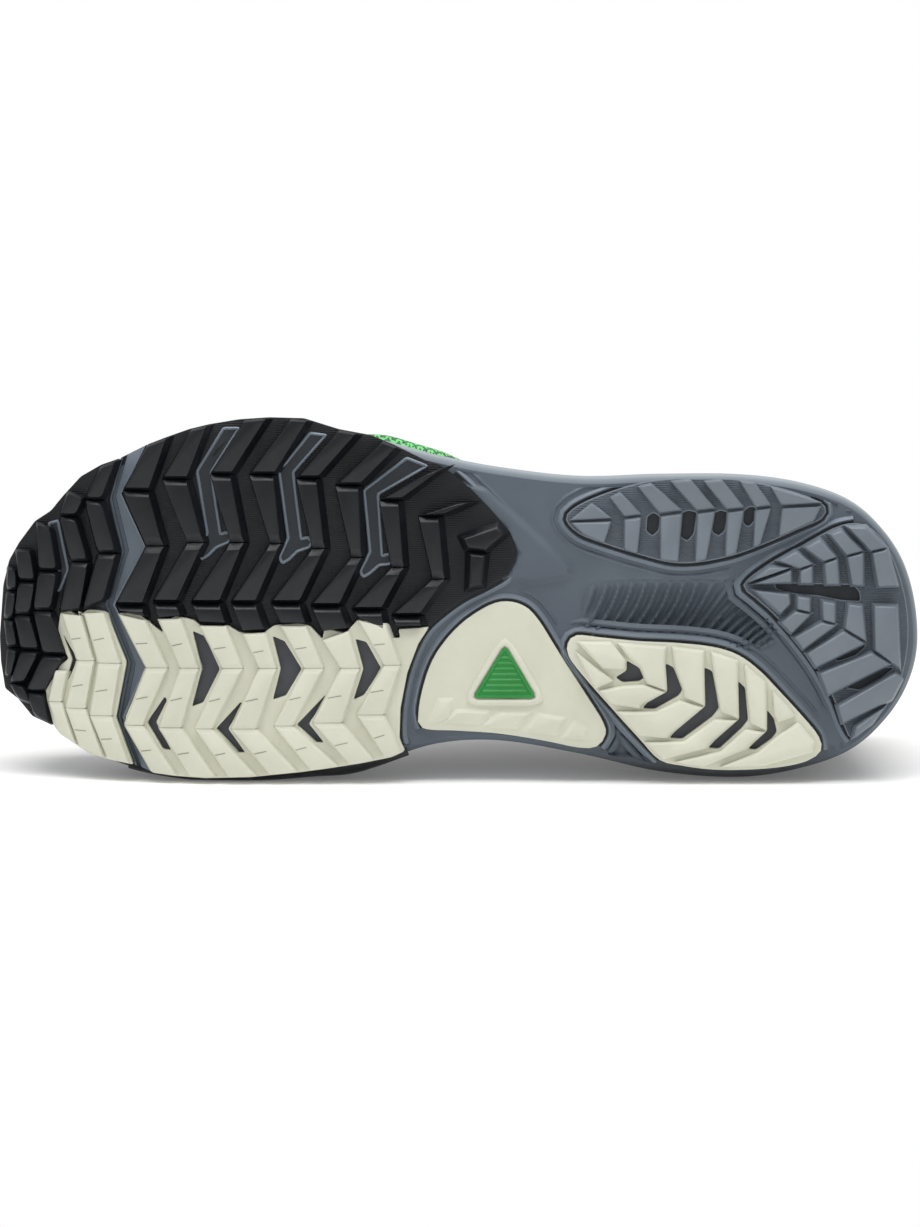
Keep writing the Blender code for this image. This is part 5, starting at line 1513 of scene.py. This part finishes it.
def grid_slab(outer, inner, materials, name):
    """A closed padded slab between two matching grids, with rounded edges from the grids themselves."""
    body = bmesh.new()
    sheets = [[[body.verts.new(point) for point in row] for row in rows] for rows in (outer, inner)]
    for material, sheet in enumerate(sheets):
        join_rings(body, sheet, material, False)
    last_row, last_point = len(outer) - 1, len(outer[0]) - 1
    rim = [(0, index) for index in range(last_point)] + [(row, last_point) for row in range(last_row)]
    rim += [(last_row, index) for index in range(last_point, 0, -1)]
    rim += [(row, 0) for row in range(last_row, 0, -1)]
    for here, there in zip(rim, rim[1:] + rim[:1]):
        corners = [sheets[0][here[0]][here[1]], sheets[0][there[0]][there[1]],
                   sheets[1][there[0]][there[1]], sheets[1][here[0]][here[1]]]
        body.faces.new(corners).material_index = 1
    tidy_body(body, None)
    return finish_mesh(name, body, materials, 50)


TONGUE_RISE = curve_of(
    (31.5, 1.35), (33.6, 1.0), (34.4, 0.78), (35.4, 0.52), (36.6, 0.28), (37.8, 0.1), (39.5, 0.0))


def ridge(percent):
    """The middle of the instep's top line."""
    return (wall_point(angle(percent), 4) + wall_point(-angle(percent), 4)) / 2


def make_tongue():
    """A padded tongue with two long quilted channels, its middle standing up over the instep."""
    percents = [70.6 - 31.1 * step / 54 for step in range(55)]
    percents += [39.5 - 5.9 * step / 16 for step in range(1, 17)]
    swings = [0.98 - 1.96 * step / 40 for step in range(41)]
    sink = UPPER_WALL + 4.5 * GAP
    forward = Vector((0.74, 0, 0.67))
    outer, inner = [], []
    for number, percent in enumerate(percents):
        rise = TONGUE_RISE(percent) if percent < 39.5 else 0.0
        outer.append([])
        inner.append([])
        for swing in swings:
            stand = max(0.0, 1 - (swing / 0.6) ** 4) if abs(swing) < 0.6 else 0.0
            open_percent = min(percent, THROAT_FRONT - 0.2)
            face = instep_point(open_percent, swing, -sink)
            back = instep_point(open_percent, swing, -sink - TONGUE_THICKNESS) - face
            if percent > open_percent:
                face += (ridge(percent) - ridge(open_percent)) * (1.0 + abs(swing) * 0.2)
                face.z -= 0.0009
            turned = min(rise * 4, 1) * stand
            back = back.lerp(-forward * TONGUE_THICKNESS, turned)
            face.z += TONGUE_TOP * rise * stand
            puff = 0.0012 * stand * (abs(math.sin(swing * 5.2 + math.pi / 2)) ** 0.5 - 0.6)
            puff += 0.0005 * stand * abs(math.sin(percent * 0.62)) ** 0.6
            if number == 0 or number == len(percents) - 1 or abs(swing) > 0.97:
                face = face + back * 0.25
                back = back * 0.5
            outer[-1].append(face - back.normalized() * puff)
            inner[-1].append(face + back)
    piece = grid_slab(outer, inner, (TONGUE_CLOTH, LINING), "padded_tongue")
    shown_for(piece, "tongue")


EYELET_ROWS = (40.5, 46.5, 52.5, 58.5, 64.0)
EYELET_SWING = 0.6 + (4 - 3.72)
LACE_WIDTH = 0.0062
LACE_THICKNESS = 0.0016


def lace_run(body, start, end, over):
    """One flat lace run that goes down into its two eyelets and arches over the run that it crosses."""
    reach = 0.0023
    steps = 28
    path = []
    for step in range(steps + 1):
        share = step / steps
        percent = start[0] + (end[0] - start[0]) * share
        swing = start[1] + (end[1] - start[1]) * share
        dive = 0.0026 * (bell(share / 0.035) + bell((1 - share) / 0.035))
        hump = over * 0.0017 * bell((share - 0.5) / 0.16)
        low = instep_point(percent, swing, reach - dive + hump)
        lean = instep_point(percent, swing, reach + 0.001) - instep_point(percent, swing, reach)
        path.append((low, lean.normalized()))
    half, thick = LACE_WIDTH / 2, LACE_THICKNESS
    section = ((-1, 0.25), (-0.97, 0.75), (-0.8, 0.95), (-0.35, 1.0), (0, 0.93), (0.35, 1.0), (0.8, 0.95),
               (0.97, 0.75), (1, 0.25), (0.8, 0), (-0.8, 0))
    rings = []
    for index, (low, lean) in enumerate(path):
        ahead = (path[min(index + 1, steps)][0] - path[max(index - 1, 0)][0]).normalized()
        aside = ahead.cross(lean).normalized()
        tight = 0.62 + 0.38 * ease(min(index, steps - index) / 4)
        rings.append([body.verts.new(low + aside * half * tight * a + lean * thick * b) for a, b in section])
    join_rings(body, rings)
    body.faces.new(rings[0][::-1])
    body.faces.new(rings[-1])


def make_laces():
    """Lace runs that cross between each two rows of eyelets, and a bar across the lowest row."""
    body = bmesh.new()
    for upper_row, lower_row in zip(EYELET_ROWS, EYELET_ROWS[1:]):
        lace_run(body, (upper_row, EYELET_SWING), (lower_row, -EYELET_SWING), 0.0)
        lace_run(body, (upper_row, -EYELET_SWING), (lower_row, EYELET_SWING), 1.0)
    lace_run(body, (EYELET_ROWS[-1], EYELET_SWING), (EYELET_ROWS[-1], -EYELET_SWING), -0.3)
    tidy_body(body, None)
    shown_for(finish_mesh("woven_laces", body, (LACE_CLOTH,), 40), "laces")


def make_eyelets():
    """Punched eyelets with a pressed rim, and their dark holes."""
    body = bmesh.new()
    for percent in EYELET_ROWS:
        for swing in (EYELET_SWING, -EYELET_SWING):
            middle = instep_point(percent, swing, 0.0016)
            lean = (instep_point(percent, swing, 0.003) - middle).normalized()
            ahead = (instep_point(percent + 0.5, swing, 0.0016) - middle).normalized()
            aside = ahead.cross(lean).normalized()
            rings = []
            for radius, rise in ((0.0046, -0.0003), (0.0044, 0.0004), (0.0038, 0.0007), (0.0031, 0.0006),
                                 (0.0026, 0.0), (0.0022, -0.0012)):
                rings.append([body.verts.new(middle + lean * rise + radius * (
                    ahead * math.cos(2 * math.pi * part / 24) + aside * math.sin(2 * math.pi * part / 24)))
                    for part in range(24)])
            join_rings(body, rings)
            body.faces.new(rings[-1])
    tidy_body(body, None)
    finish_mesh("eyelets", body, (EYELET,), 40)


shown_for(make_knit_upper(), "upper")
make_films()
make_padded_collar()
make_eyestay()
make_stitching()
make_tongue()
make_laces()
make_eyelets()
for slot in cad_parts["insole"].material_slots:
    slot.material = INSOLE_CLOTH


# Camera, light and floor


def aim(place, target):
    """A turn that looks from a place to a target with the picture's up kept upright."""
    return (target - place).to_track_quat("-Z", "Y")


def make_camera():
    data = bpy.data.cameras.new("photo_camera")
    data.lens = 140
    data.sensor_width = 36
    camera = bpy.data.objects.new("photo_camera", data)
    bpy.context.collection.objects.link(camera)
    elevation = math.radians(7.0)
    target = Vector((0.0003, -0.058, 0.0558))
    place = target + CAMERA_DISTANCE * Vector((0, -math.cos(elevation), math.sin(elevation)))
    camera.location = place
    camera.rotation_mode = "QUATERNION"
    camera.rotation_quaternion = aim(place, target)
    bpy.context.scene.camera = camera


def make_light(name, place, target, size, power):
    data = bpy.data.lights.new(name, "AREA")
    data.shape = "RECTANGLE"
    data.size, data.size_y = size
    data.energy = power
    light = bpy.data.objects.new(name, data)
    bpy.context.collection.objects.link(light)
    light.location = place
    light.rotation_mode = "QUATERNION"
    light.rotation_quaternion = aim(Vector(place), Vector(target))


def make_floor():
    body = bmesh.new()
    half = 12.0
    spread = ((-half, -half), (half, -half), (half, half), (-half, half))
    corners = [body.verts.new((x, y, 0)) for x, y in spread]
    body.faces.new(corners)
    mesh = bpy.data.meshes.new("floor")
    body.to_mesh(mesh)
    body.free()
    # A white matt table that runs into plain white a quarter of a metre away, as studio paper does
    material, add, place = new_material("white_table_matt", 0.55, Base_Color=linear("f6f6f5"),
                                        Emission_Color=(1, 1, 1, 1), Emission_Strength=0.11)
    finish_material(material, Normal=relief(add, place, ((0.4, 4.0), 0.0002, 0.2)))
    far = add("VectorMath", "Value", {0: place}, operation="LENGTH")
    share = add("MapRange", "Result", {"Value": far, "From Min": 260.0, "From Max": 620.0})
    tree = material.node_tree
    lit = tree.nodes["Principled BSDF"].outputs[0]
    glow = add("Emission", 0, {"Color": (1, 1, 1, 1), "Strength": 1.0})
    fade = add("MixShader", 0, {0: share, 1: lit, 2: glow})
    tree.links.new(fade, tree.nodes["Material Output"].inputs["Surface"])
    mesh.materials.append(material)
    piece = bpy.data.objects.new("floor", mesh)
    bpy.context.collection.objects.link(piece)


def make_world():
    world = bpy.data.worlds.new("studio")
    bpy.context.scene.world = world
    world.use_nodes = True
    background = world.node_tree.nodes["Background"]
    background.inputs["Color"].default_value = (1, 1, 1, 1)
    seen = add_node(world.node_tree, "LightPath", "Is Camera Ray", {})
    strength = add_node(world.node_tree, "MapRange", "Result", {"Value": seen, "To Min": 0.5})
    world.node_tree.links.new(strength, background.inputs["Strength"])


make_camera()
make_world()
make_floor()
make_light("top_softbox", (0.05, -0.25, 1.3), (0, 0, 0.05), (1.6, 1.0), 22)
make_light("front_left", (-1.1, -1.3, 0.7), (0, 0, 0.05), (0.8, 0.8), 1.2)
bpy.context.scene.view_settings.view_transform = "Standard"
bpy.context.scene.view_settings.look = "None"
